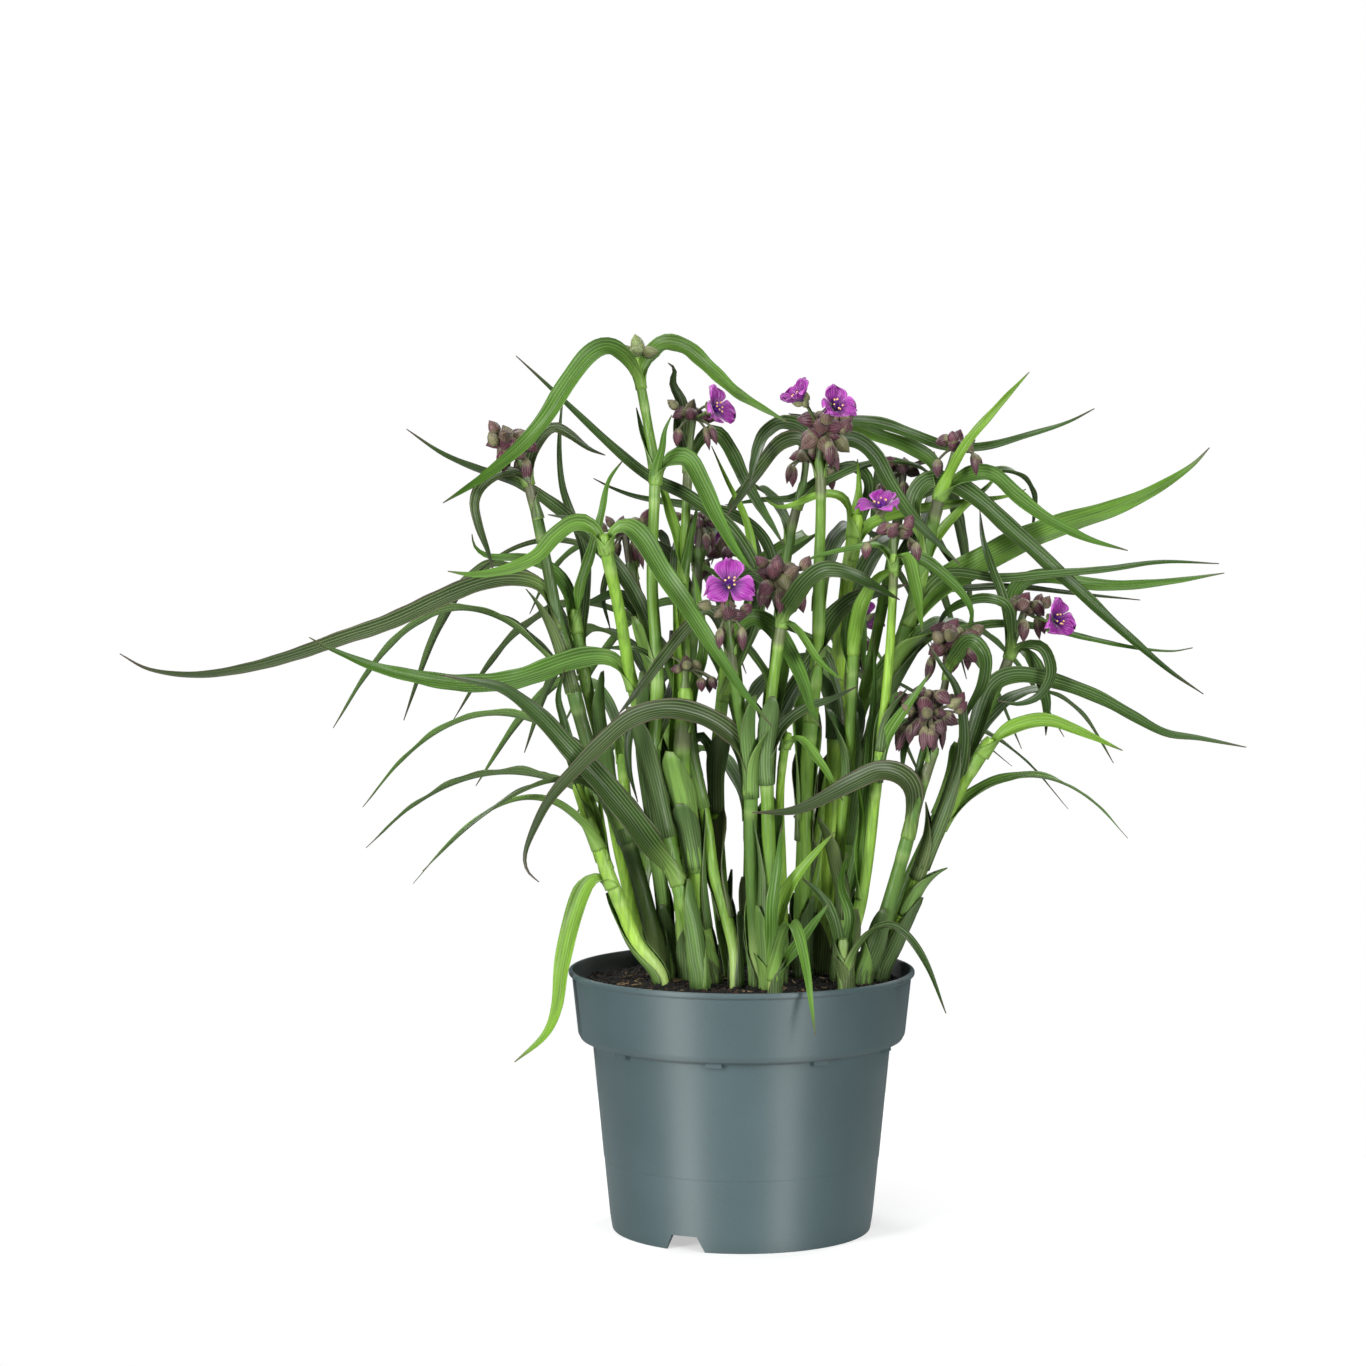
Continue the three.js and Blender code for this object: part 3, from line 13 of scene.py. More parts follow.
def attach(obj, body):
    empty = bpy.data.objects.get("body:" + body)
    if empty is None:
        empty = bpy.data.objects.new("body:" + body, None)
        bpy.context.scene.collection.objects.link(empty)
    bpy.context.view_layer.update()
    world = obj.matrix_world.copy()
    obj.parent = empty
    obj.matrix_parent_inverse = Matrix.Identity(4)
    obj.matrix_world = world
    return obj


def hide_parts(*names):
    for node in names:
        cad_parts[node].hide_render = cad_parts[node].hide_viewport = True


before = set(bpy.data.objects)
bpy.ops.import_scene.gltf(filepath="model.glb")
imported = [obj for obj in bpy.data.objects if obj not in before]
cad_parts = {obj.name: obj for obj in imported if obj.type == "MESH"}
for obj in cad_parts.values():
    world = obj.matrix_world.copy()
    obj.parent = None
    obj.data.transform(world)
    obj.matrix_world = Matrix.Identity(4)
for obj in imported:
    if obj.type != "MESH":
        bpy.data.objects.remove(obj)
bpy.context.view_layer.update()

# Sizes are in millimetres as the plant's routes are; meshes are made in metres.
MM = 0.001

# Pot
POT_HEIGHT = 144
RIM_RADIUS = 95.4
LIP_HEIGHT = 3
LIP_OVERHANG = 1.8
COLLAR_FOOT_Z = 109
COLLAR_FOOT_RADIUS = 90.2
STEP_Z = 104
BODY_RADIUS = 82.2
FOOT_RADIUS = 71.4
WALL = 1.8
NECK_RADIUS = RIM_RADIUS - LIP_OVERHANG
LIP_FOOT_Z = POT_HEIGHT - LIP_HEIGHT
CHANNEL_HEIGHT = 9
CHANNEL_INNER = 40
BASE_DISC_RADIUS = 30
DRAIN_HOLE_RADIUS = 4
DRAIN_HOLES = 8
DRAIN_RING_RADIUS = 54
NOTCHES = 3
NOTCH_FOOT_WIDTH = 25
NOTCH_TOP_WIDTH = 15
NOTCH_HEIGHT = 8.5
FIRST_NOTCH_DEG = 244

# Soil
SOIL_TOP = 134

# Stems and leaves
STEM_FOOT = 118
STEM_STRAIGHT = 139
LOWEST_ROOT = 26
SHEATH_LENGTH = 15
SHEATH_SWELL = 1.1
LOWEST_TIP_Z = 50

# Routes are (x, z) in the upright plane through the pot's axis, as someone 2 m in front sees them. A
# depth moves a point straight away from or towards that eye.
EYE = (-32.3, -2000, 437)

# A shoot: name, depth at its foot and tip, radius at its foot and tip, route of the stem, its traced
# leaves (width, roll towards the front in degrees, how far the tip reaches back, tone, route), its leaves
# by rule (height on the stem, azimuth, length, rise, width, tone) and a side twig (radius, reach, route).
# A row ends where nothing follows.
SHOOTS = [
  ['shoot_01', [4, -8], [4.4, 3],
    [[-45, 133], [-58, 158], [-67, 180], [-75, 200], [-84, 225], [-91, 246]],
    [
      [10, 75, -45, 0, [[-74, 193], [-80, 195], [-87, 188], [-94, 168], [-99, 145], [-102, 122],
        [-109, 106], [-126, 91]]],
      [8, 55, -6, 2, [[-86, 232], [-93, 258], [-98, 280], [-101, 294], [-97, 310]]],
      [10, 60, 10, 0, [[-78, 208], [-83, 228], [-89, 246], [-96, 264], [-106, 280]]],
      [5, 50, 14, 0, [[-76, 203], [-77, 224], [-79, 245]]],
    ],
    [[215, 200, 120, 30, 8, 1]]],
  ['shoot_02', [22, 0], [5.4, 2.7],
    [[-43, 133], [-50, 168], [-58, 198], [-68, 228], [-80, 255], [-88, 280], [-96, 312], [-101, 335],
     [-104, 352], [-108, 372], [-112, 392], [-116, 408], [-119, 419]],
    [
      [10.5, 62, -22, 3, [[-101, 336], [-107, 351], [-118, 358], [-136, 358], [-160, 350], [-190, 336],
        [-216, 327], [-242, 318], [-270, 310], [-300, 306], [-325, 309], [-342, 318]]],
      [7, 65, -12, 3, [[-118, 414], [-130, 417], [-141, 411], [-146, 401], [-144, 388], [-139, 374],
        [-136, 362]]],
      [8, 60, 22, 3, [[-118, 414], [-113, 431], [-104, 441], [-95, 438], [-84, 430], [-74, 426]]],
      [5, 60, -4, 3, [[-113, 396], [-114, 404], [-110, 410]]],
    ],
    [[300, 150, 190, 45, 10, 2], [225, 215, 150, 30, 10, 2]]],
  ['shoot_03', [40, 14], [4.2, 3],
    [[-46, 133], [-56, 165], [-65, 200], [-71, 230], [-76, 262], [-84, 295], [-90, 325], [-92, 342]],
    [
      [8, 60, 8, 1, [[-91, 330], [-96, 353], [-106, 365], [-122, 370], [-138, 371], [-146, 376],
        [-148, 384]]],
      [7, 55, 4, 1, [[-91, 334], [-88, 356], [-82, 374], [-77, 394], [-73, 412], [-64, 425]]],
      [5.5, 70, 30, 2, [[-90, 320], [-86, 350], [-86, 372], [-92, 390], [-98, 408], [-100, 428],
        [-99, 448], [-97, 462]]],
    ],
    [[310, 130, 200, 60, 10, 2], [250, 165, 170, 35, 10, 1]]],
  ['shoot_04', [34, -22], [3.6, 3.2],
    [[-38, 133], [-41, 160], [-45, 200], [-50, 235], [-54, 262], [-57, 288], [-62, 310], [-67, 340],
     [-73, 368], [-76, 383]],
    [
      [10, 62, -12, 1, [[-75, 377], [-81, 387], [-92, 389], [-103, 381], [-112, 371], [-128, 364],
        [-146, 361], [-162, 363]]],
      [11.5, 68, -28, 1, [[-75, 378], [-66, 388], [-55, 381], [-42, 360], [-28, 340], [-14, 318],
        [0, 298], [17, 277]]],
      [4, 60, 12, 3, [[-75, 379], [-88, 390], [-107, 394]]],
      [12, 64, -34, 1, [[-60, 303], [-68, 313], [-80, 316], [-95, 313], [-112, 307], [-130, 302],
        [-150, 301], [-175, 304], [-200, 310], [-225, 320], [-238, 327]]],
    ]],
  ['shoot_05', [-8, 0], [4.9, 2.4],
    [[-23, 133], [-25, 150], [-28, 168], [-33, 185], [-38, 203], [-43, 225], [-47, 245], [-49, 265],
     [-47, 290], [-47, 320], [-49, 350], [-49, 375], [-48, 400], [-48, 422], [-51, 440], [-54, 457],
     [-57, 472]],
    [
      [14, 68, -14, 2, [[-36, 195], [-50, 212], [-63, 230], [-80, 250], [-96, 267], [-112, 284],
        [-130, 298], [-150, 303], [-166, 306]]],
      [9, 62, 26, 2, [[-48, 318], [-52, 334], [-60, 352], [-72, 369], [-86, 384], [-102, 398],
        [-122, 411], [-145, 419], [-165, 428], [-184, 441]]],
      [11, 62, -26, 1, [[-48, 415], [-40, 424], [-30, 424], [-22, 410], [-13, 391], [-2, 372], [9, 360]]],
      [4, 60, 6, 2, [[-49, 424], [-54, 437], [-58, 453]]],
      [4.5, 60, -14, 1, [[-48, 416], [-44, 428], [-42, 440], [-38, 449]]],
      [10.5, 66, -26, 1, [[-56, 467], [-64, 480], [-74, 485], [-84, 480], [-95, 466], [-107, 447],
        [-122, 430], [-142, 414], [-164, 400]]],
      [10, 62, 14, 1, [[-56, 467], [-50, 481], [-42, 487], [-30, 484], [-17, 473], [-3, 460], [11, 452],
        [27, 443]]],
      [4, 60, 8, 2, [[-47, 314], [-58, 320], [-77, 321]]],
    ],
    [[270, 100, 150, 40, 9, 2]]],
  ['shoot_06', [18, 8], [3.5, 3],
    [[-31, 133], [-34, 180], [-37, 215], [-36, 245]],
    [
      [9, 60, 6, 0, [[-37, 210], [-36, 245], [-37, 272], [-35, 300], [-36, 330], [-38, 362]]],
      [8, 60, -10, 2, [[-36, 238], [-44, 262], [-52, 280], [-61, 276], [-62, 256], [-57, 235]]],
    ]],
  ['shoot_07', [10, -8], [4.6, 4.2],
    [[-16, 133], [-21, 165], [-26, 200], [-31, 235], [-33, 262], [-31, 285], [-31, 299]],
    [
      [10, 60, -10, 2, [[-17, 140], [-21, 160], [-22, 180], [-21, 197]]],
      [7, 60, 14, 1, [[-32, 280], [-26, 300], [-21, 320], [-23, 345], [-28, 368]]],
    ]],
  ['shoot_08', [-4, 30], [3.7, 2.4],
    [[-3, 133], [-4, 155], [-10, 178], [-16, 200], [-19, 222], [-24, 245], [-28, 265], [-30, 295],
     [-32, 330], [-32, 360], [-31, 388], [-30, 410], [-29, 427]],
    [
      [7, 60, 8, 0, [[-31, 360], [-35, 380], [-41, 400], [-46, 418], [-49, 432]]],
      [5, 60, -8, 1, [[-31, 362], [-28, 380], [-24, 401]]],
      [10, 62, 8, 3, [[-29, 421], [-34, 438], [-33, 454], [-38, 465], [-37, 473], [-41, 477]]],
      [8.5, 62, -22, 2, [[-29, 421], [-22, 435], [-14, 438], [-6, 428], [1, 413], [8, 401], [15, 390],
        [23, 377]]],
    ],
    [[330, 75, 170, 50, 9, 2]]],
  ['shoot_09', [26, 18], [4, 3.2],
    [[-5, 133], [-9, 165], [-12, 200], [-14, 235], [-14, 262], [-11, 290], [-9, 312]],
    [
      [7, 60, 22, 0, [[-9, 300], [0, 330], [6, 360], [3, 388], [-8, 412], [-17, 432]]],
      [9, 62, 20, 2, [[-10, 296], [6, 335], [8, 360], [-6, 385], [-28, 403], [-50, 414], [-70, 430],
        [-90, 449], [-110, 468], [-124, 481]]],
      [6, 60, 10, 2, [[-14, 256], [-22, 272], [-34, 262], [-44, 248]]],
    ]],
  ['shoot_10', [-2, -30], [4.8, 2.6],
    [[9, 133], [8, 160], [6, 190], [5, 220], [5, 247], [3, 264], [-1, 285], [-5, 308], [-7, 327]],
    [
      [12, 60, -34, 3, [[5, 245], [1, 264], [-9, 276], [-24, 284], [-42, 287], [-60, 282], [-76, 269],
        [-92, 253], [-105, 238], [-113, 224], [-119, 208], [-118, 198], [-111, 191]]],
      [10.5, 64, -34, 1, [[-6, 322], [3, 336], [14, 334], [24, 322], [33, 303], [38, 288], [43, 277]]],
      [7, 62, -14, 3, [[-6, 322], [-18, 341], [-30, 332], [-44, 314], [-57, 297], [-68, 284]]],
      [9, 60, -6, 2, [[9, 136], [10, 155], [11, 178]]],
    ]],
  ['shoot_11', [-14, -24], [4.7, 2.6],
    [[15, 133], [14, 170], [15, 205], [14, 240], [13, 262], [16, 292], [20, 322], [23, 342]],
    [
      [9, 60, 12, 2, [[22, 337], [18, 351], [8, 361], [-4, 358], [-15, 349]]],
      [11, 62, -14, 2, [[22, 337], [32, 353], [44, 363], [58, 362], [72, 355], [87, 347]]],
      [5, 60, -8, 1, [[22, 337], [33, 327], [42, 314], [56, 302]]],
      [7, 60, 8, 2, [[13, 258], [22, 277], [36, 288], [50, 293], [64, 300]]],
    ]],
  ['shoot_12', [10, -14], [3, 2.2],
    [[22, 133], [23, 170], [22, 205], [21, 238], [23, 262], [26, 274]],
    [
      [6, 60, -10, 1, [[25, 270], [33, 272], [40, 262], [47, 252], [56, 236]]],
      [5, 60, 6, 1, [[25, 268], [22, 277], [17, 283]]],
    ]],
  ['shoot_13', [28, 0], [5, 2.7],
    [[34, 133], [33, 170], [34, 205], [35, 240], [37, 270], [40, 300], [42, 330], [42, 360], [43, 390],
     [43, 412], [42, 425]],
    [
      [9.5, 62, -14, 3, [[42, 419], [33, 434], [22, 433], [11, 421], [1, 406], [-8, 394]]],
      [9, 62, 14, 2, [[42, 419], [35, 439], [22, 444], [12, 437], [7, 424], [4, 410]]],
      [10, 62, -22, 2, [[42, 419], [52, 433], [62, 434], [72, 426], [80, 412], [90, 396], [99, 386],
        [120, 366]]],
      [7, 62, 20, 2, [[42, 419], [54, 442], [72, 444], [92, 438], [112, 431], [132, 431], [155, 437],
        [177, 444], [193, 452]]],
      [12, 60, -8, 2, [[41, 316], [48, 334], [60, 346], [76, 352], [92, 356]]],
      [8, 60, -12, 2, [[38, 285], [34, 304], [44, 318], [52, 300], [56, 278]]],
    ],
    [[345, 62, 180, 45, 10, 2]]],
  ['shoot_14', [44, 26], [4.8, 3.6],
    [[44, 133], [46, 170], [48, 205], [50, 240], [51, 270], [52, 300], [55, 335], [59, 368], [63, 394]],
    [
      [4.5, 60, 6, 0, [[62, 388], [64, 408], [63, 425]]],
      [5.5, 60, -10, 0, [[61, 386], [56, 402], [44, 405], [30, 400], [20, 398], [10, 404]]],
      [7, 60, 10, 0, [[60, 374], [68, 387], [84, 394], [104, 398], [126, 401], [145, 404], [156, 408]]],
      [7.5, 60, 16, 2, [[61, 384], [69, 408], [63, 419], [52, 418], [40, 411], [28, 403], [12, 402],
        [-10, 399]]],
    ],
    [[330, 60, 190, 55, 11, 2], [280, 96, 180, 40, 10, 1]]],
  ['shoot_15', [22, 4], [3.5, 3],
    [[53, 133], [56, 160], [56, 185], [54, 205], [56, 230], [59, 255], [60, 285], [61, 310], [62, 330]],
    [
      [7, 60, 8, 1, [[56, 165], [60, 188], [65, 212], [68, 240], [70, 268], [73, 300], [72, 332]]],
      [8, 60, -6, 1, [[61, 312], [58, 328], [62, 345], [66, 330], [67, 305]]],
      [9, 60, 10, 0, [[61, 322], [66, 345], [76, 360], [88, 364]]],
    ]],
  ['shoot_16', [0, -24], [3.4, 2.2],
    [[57, 133], [61, 160], [67, 187], [71, 215], [74, 245], [77, 275], [80, 305], [82, 335], [83, 358],
     [83, 373]],
    [
      [4, 60, 8, 1, [[83, 367], [76, 377], [62, 376], [48, 373], [38, 370], [33, 364]]],
      [9, 62, -14, 1, [[83, 367], [90, 374], [94, 358], [97, 342], [99, 329]]],
      [7.5, 60, -6, 1, [[83, 365], [96, 370], [110, 361], [121, 350], [126, 339], [122, 329]]],
      [7, 60, -8, 1, [[75, 255], [80, 272], [91, 289], [104, 308]]],
      [6, 60, 8, 1, [[67, 187], [64, 205], [66, 228], [63, 250]]],
    ]],
  ['shoot_17', [6, -12], [5.5, 2.4],
    [[67, 133], [72, 152], [80, 175], [87, 200], [93, 222], [98, 240], [103, 256], [107, 266]],
    [
      [12.5, 60, -34, 3, [[93, 221], [94, 240], [88, 250], [76, 253], [62, 247], [45, 238], [28, 231],
        [5, 230]]],
      [9, 62, -10, 2, [[112, 308], [124, 324], [133, 316], [132, 302], [126, 290], [122, 280]]],
      [7, 60, 8, 2, [[106, 262], [98, 278], [90, 268], [88, 250]]],
    ],
    [],
    [[2.2, 14, [[95, 228], [96, 246], [100, 265], [106, 282], [111, 298], [113, 312]]]]],
  ['shoot_18', [16, 2], [4.4, 3.6],
    [[77, 133], [85, 160], [97, 194], [108, 220], [119, 242], [130, 260], [137, 271]],
    [
      [8.5, 62, -20, 0, [[135, 266], [146, 276], [165, 281], [183, 276], [210, 264]]],
      [10, 62, 16, 2, [[121, 244], [130, 280], [138, 300], [152, 306], [172, 302], [195, 294], [215, 283],
        [233, 274], [252, 271], [278, 266]]],
      [8, 62, -12, 2, [[112, 226], [119, 250], [122, 268], [121, 285], [117, 300], [109, 312],
        [101, 325]]],
    ],
    [[225, 30, 150, 25, 9, 1]]],
  ['shoot_19', [32, 24], [4.2, 2.6],
    [[70, 133], [79, 158], [91, 190], [103, 217], [114, 243], [126, 268], [137, 292], [145, 311],
     [149, 325]],
    [
      [9, 62, 22, 1, [[148, 319], [148, 345], [154, 357], [168, 360], [188, 356], [212, 355], [240, 358],
        [265, 362]]],
      [6, 62, 26, 2, [[148, 319], [144, 345], [137, 364], [132, 380], [130, 397]]],
      [6, 62, 2, 2, [[148, 319], [146, 342], [134, 348], [120, 345], [111, 339], [107, 330]]],
      [9, 62, -20, 2, [[149, 320], [157, 318], [163, 305], [167, 290], [167, 272]]],
      [7, 62, -28, 2, [[149, 320], [164, 322], [170, 308], [164, 295], [152, 290], [140, 292]]],
    ],
    [[265, 50, 170, 30, 9, 2]]],
  ['shoot_20', [56, 18], [4.9, 3.2],
    [[48, 133], [52, 165], [56, 200], [62, 235], [68, 262], [76, 290], [86, 320], [95, 350], [102, 378],
     [107, 400], [111, 412]],
    [
      [9, 62, -30, 1, [[110, 406], [104, 422], [92, 430], [74, 437], [56, 443], [40, 446], [25, 449]]],
      [9.5, 62, -18, 1, [[110, 406], [122, 415], [136, 416], [150, 404], [168, 391], [188, 381],
        [212, 374]]],
      [5.5, 62, 16, 0, [[110, 406], [121, 430], [138, 451], [157, 472]]],
      [11, 62, 12, 2, [[101, 372], [94, 398], [101, 412], [114, 411], [130, 401], [150, 383], [170, 365],
        [190, 347], [212, 327], [235, 308], [254, 295]]],
      [6, 62, -4, 0, [[98, 360], [106, 380], [120, 397], [133, 408], [142, 418]]],
      [15.5, 68, -16, 1, [[89, 328], [104, 351], [124, 364], [148, 377], [174, 388], [200, 396],
        [225, 407], [245, 420], [256, 431]]],
      [5.5, 62, 14, 2, [[92, 338], [110, 361], [140, 359], [165, 361], [200, 364], [230, 368],
        [262, 367]]],
      [4.5, 62, 22, 3, [[85, 316], [104, 349], [130, 354], [155, 354], [180, 351], [219, 347]]],
      [5, 62, 18, 1, [[80, 300], [102, 326], [120, 331], [140, 334], [165, 332], [190, 326], [215, 321],
        [235, 319], [248, 321]]],
    ],
    [[355, 75, 200, 55, 11, 2], [290, 45, 190, 45, 11, 1]]],
  ['shoot_21', [-32, -34], [3.8, 3],
    [[18, 133], [18, 146], [18, 158]],
    [
      [8.5, 60, -6, 0, [[18, 146], [20, 170], [27, 190], [39, 206], [52, 220]]],
      [7, 60, -10, 1, [[18, 138], [28, 152], [38, 166], [49, 181]]],
      [8, 60, 4, 1, [[18, 150], [17, 175], [20, 200], [22, 224]]],
    ],
    [[146, 285, 90, 34, 7, 1]]],
  ['shoot_22', [-26, -30], [4, 3.2],
    [[58, 133], [57, 147], [56, 160]],
    [
      [8, 60, -4, 2, [[56, 150], [50, 173], [42, 186], [33, 194]]],
      [7, 60, 4, 1, [[57, 152], [60, 172], [55, 190], [58, 208]]],
    ],
    [[148, 320, 80, 28, 7, 2]]],
  ['shoot_23', [62, 52], [3.8, 2.4],
    [[8, 133], [11, 180], [14, 240], [17, 300], [21, 345], [26, 380], [31, 402], [34, 413]],
    [
      [7, 60, 20, 2, [[22, 350], [12, 380], [-6, 394], [-30, 399], [-55, 403], [-70, 408], [-82, 414]]],
    ],
    [[380, 110, 150, 30, 9, 2], [400, 20, 120, 25, 8, 2], [296, 140, 190, 50, 10, 1],
     [260, 65, 200, 50, 11, 2]]],
  ['shoot_24', [52, 38], [4, 2.6],
    [[-16, 133], [-24, 180], [-34, 240], [-46, 300], [-56, 345], [-62, 368]],
    [
      [10, 60, 10, 2, [[-50, 315], [-56, 338], [-68, 350], [-80, 347], [-91, 341]]],
      [5, 60, 14, 3, [[-58, 352], [-70, 366], [-76, 350], [-72, 330]]],
    ],
    [[360, 78, 150, 25, 9, 3], [360, 170, 120, 20, 8, 3], [280, 120, 200, 50, 11, 2]]],
  ['shoot_25', [66, 50], [4.2, 2.6],
    [[28, 133], [42, 190], [56, 250], [70, 310], [80, 360], [85, 390], [87, 404]],
    [
      [7, 60, 14, 2, [[79, 350], [90, 376], [100, 388], [112, 372], [126, 352]]],
    ],
    [[395, 95, 140, 30, 9, 2], [395, 30, 130, 25, 8, 2], [280, 50, 190, 45, 11, 1]]],
  ['shoot_26', [74, 66], [4.2, 2.6],
    [[-32, 133], [-33, 190], [-32, 250], [-28, 310], [-25, 350], [-24, 376]],
    [
      [9, 60, 10, 3, [[-26, 340], [-36, 366], [-48, 378], [-62, 372]]],
    ],
    [[365, 70, 150, 30, 9, 2], [300, 150, 190, 45, 11, 2], [230, 115, 180, 35, 11, 1]]],
  ['shoot_27', [76, 104], [4.2, 2.5],
    [[2, 133], [4, 180], [4, 240], [-2, 300], [-6, 340], [-8, 360]],
    [],
    [[352, 70, 150, 30, 9, 1], [352, 160, 150, 30, 9, 1], [270, 30, 190, 40, 11, 2],
     [220, 110, 190, 35, 12, 1]]],
  ['shoot_28', [78, 112], [4.4, 2.6],
    [[20, 133], [33, 180], [45, 230], [53, 280], [57, 310]],
    [],
    [[303, 60, 150, 30, 9, 1], [303, 130, 150, 25, 9, 1], [240, 20, 180, 35, 11, 2]]],
  ['shoot_29', [58, 112], [4.2, 3],
    [[-46, 133], [-54, 180], [-62, 225], [-66, 262]],
    [],
    [[255, 125, 190, 45, 10, 1], [215, 165, 190, 30, 12, 2], [175, 90, 180, 20, 11, 0]]],
]

# A bud head sits on a stem's tip: stem, which of its axes, centre as (x, z), how far behind the tip it
# lies, radius of its core, whether it is full, length and radius of its buds, tone (0 green, 1 dusky
# pink, 2 dark and dried).
HEADS = [
  ['bud_head_01', 'shoot_02', 0, [-126, 430], -2, 6.5, True, 9, 2.9, 1],
  ['bud_head_02', 'shoot_05', 0, [-58, 482], 0, 4, False, 8, 2.6, 0],
  ['bud_head_03', 'shoot_08', 0, [-27, 446], 0, 5, False, 8, 2.4, 1],
  ['bud_head_04', 'shoot_13', 0, [44, 437], -2, 7.5, True, 10, 3.2, 1],
  ['bud_head_05', 'shoot_20', 0, [117, 430], 0, 4.6, False, 8, 2.8, 1],
  ['bud_head_06', 'shoot_16', 0, [83, 384], 0, 4.2, False, 7, 2.6, 1],
  ['bud_head_07', 'shoot_19', 0, [155, 341], 0, 4.6, False, 8, 2.8, 1],
  ['bud_head_08', 'shoot_17', 1, [116, 322], 0, 8, True, 9, 3.2, 1],
  ['bud_head_09', 'shoot_17', 0, [103, 283], -4, 7, True, 9, 2.8, 2],
  ['bud_head_10', 'shoot_11', 0, [21, 358], 0, 7, True, 9, 3, 1],
  ['bud_head_11', 'shoot_10', 0, [-8, 338], 0, 5, False, 8, 2.8, 1],
  ['bud_head_12', 'shoot_07', 0, [-31, 309], 0, 3.6, False, 6, 2.4, 1],
  ['bud_head_13', 'shoot_24', 0, [-64, 383], 0, 3.4, False, 9, 2.2, 2],
  ['bud_head_14', 'shoot_26', 0, [-23, 387], 0, 3.6, False, 7, 2.4, 2],
  ['bud_head_15', 'shoot_25', 0, [88, 416], 0, 4.2, False, 7, 2.6, 2],
  ['bud_head_16', 'shoot_23', 0, [35, 424], 0, 4.2, False, 8, 2.6, 1],
  ['bud_head_17', 'shoot_27', 0, [-9, 371], 0, 6, False, 9, 2.8, 1],
  ['bud_head_18', 'shoot_28', 0, [59, 321], 0, 5, False, 8, 2.8, 1],
]

# A flower: its head, centre as (x, z), how far behind the head it lies, the way it faces (azimuth and
# height in degrees, -90 is straight at the front), petal length and how far the petals open.
FLOWERS = [
  ['flower_01', 'bud_head_03', [-16, 451], -16, -35, 20, 13, 62],
  ['flower_02', 'bud_head_04', [33, 456], -14, -150, 45, 12, 40],
  ['flower_03', 'bud_head_04', [50, 452], -20, -60, 30, 12, 55],
  ['flower_04', 'bud_head_11', [-7, 355], -18, -85, 25, 14, 74],
  ['flower_05', 'bud_head_06', [76, 397], 11, -110, 66, 13, 66],
  ['flower_06', 'bud_head_07', [171, 336], -16, -50, 10, 12, 60],
  ['flower_07', 'bud_head_17', [-20, 384], 20, 110, 25, 13, 70],
  ['flower_08', 'bud_head_18', [66, 336], 18, 80, 35, 13, 66],
]


UP = np.array([0.0, 0.0, 1.0])
BACK = np.array([0.0, 1.0, 0.0])


# Lines and directions

def unit(v):
    return v / np.linalg.norm(v, axis=-1, keepdims=True)


def smoothstep(low, high, value):
    share = np.clip((value - low) / (high - low), 0, 1)
    return share * share * (3 - 2 * share)


def level_way(turn):
    """The level direction at a turn about the upright."""
    return np.array([math.cos(turn), math.sin(turn), 0])


def circle(radius, z, count):
    """Points round the pot's axis at a height."""
    turn = np.arange(count) * math.tau / count
    return np.stack([radius * np.cos(turn), radius * np.sin(turn), np.full(count, z)], -1)


def seeded(seed):
    """A small generator that draws the same numbers on every run."""
    state = seed
    while True:
        state = (state * 1664525 + 1013904223) % 2**32
        yield state / 2**32


def seen(x, z, depth):
    """Where a route's point lies once a depth has pushed it back along the line of sight."""
    k = 1 + depth / -EYE[1]
    return np.array([EYE[0] + (x - EYE[0]) * k, depth, EYE[2] + (z - EYE[2]) * k])


STRETCH_STEPS = 8
LOOK_AHEAD = 2


class Line:
    """A smooth line through points, with its running length."""

    def __init__(self, points):
        points = np.array(points, float)
        last = len(points) - 1
        held = np.vstack([2 * points[0] - points[1], points, 2 * points[-1] - points[-2]])
        steps = last * STRETCH_STEPS
        place = np.arange(steps + 1) / steps * last
        first = np.minimum(np.floor(place).astype(int), last - 1)
        w = (place - first)[:, None]
        a, b, c, d = (held[first + k] for k in range(4))
        leave = (c - a) / 2
        arrive = (d - b) / 2
        bend = -3 * b + 3 * c - 2 * leave - arrive
        turn = 2 * b - 2 * c + leave + arrive
        self.fine = b + leave * w + bend * w**2 + turn * w**3
        gaps = np.linalg.norm(np.diff(self.fine, axis=0), axis=1)
        self.run = np.concatenate([[0], np.cumsum(gaps)])
        self.total = self.run[-1]

    def at(self, distance):
        """The place at a running length."""
        return np.stack([np.interp(distance, self.run, self.fine[:, k]) for k in range(3)], -1)

    def along(self, distance):
        """The way the line runs there."""
        return unit(self.at(distance + LOOK_AHEAD) - self.at(distance - LOOK_AHEAD))


def frames(along, across, roll, side):
    """A blade's directions on its line: across it, and out of its upper face."""
    dots = (along * across).sum(-1, keepdims=True)
    level = unit(across - along * dots)
    upright = np.cross(along, level)
    wide = upright * math.sin(roll) + level * side * math.cos(roll)
    return wide, np.cross(along, wide)


# The room that the plant has grown into, in cells that remember what they are near

CELL = 2
ROOM_CORNER = np.array([-372.137, -182.137, 40.137])
ROOM_CELLS = np.array([340, 240, 240])
# Owners: the shoots from 1, the pot, then heads, flowers and leaves.
SHARED = -1
POT_OWNER = 99
FIRST_HEAD_OWNER = 100
RING_STEP = 3
RING_REACH = 3.6
LEAF_REACH = 3
STEM_MARGIN = 1.7
HEAD_MARGIN = 1.5
room = np.zeros(ROOM_CELLS, np.int16)


def inside_room(cells):
    """Which cells the room has."""
    return ((cells >= 0) & (cells < ROOM_CELLS)).all(-1)


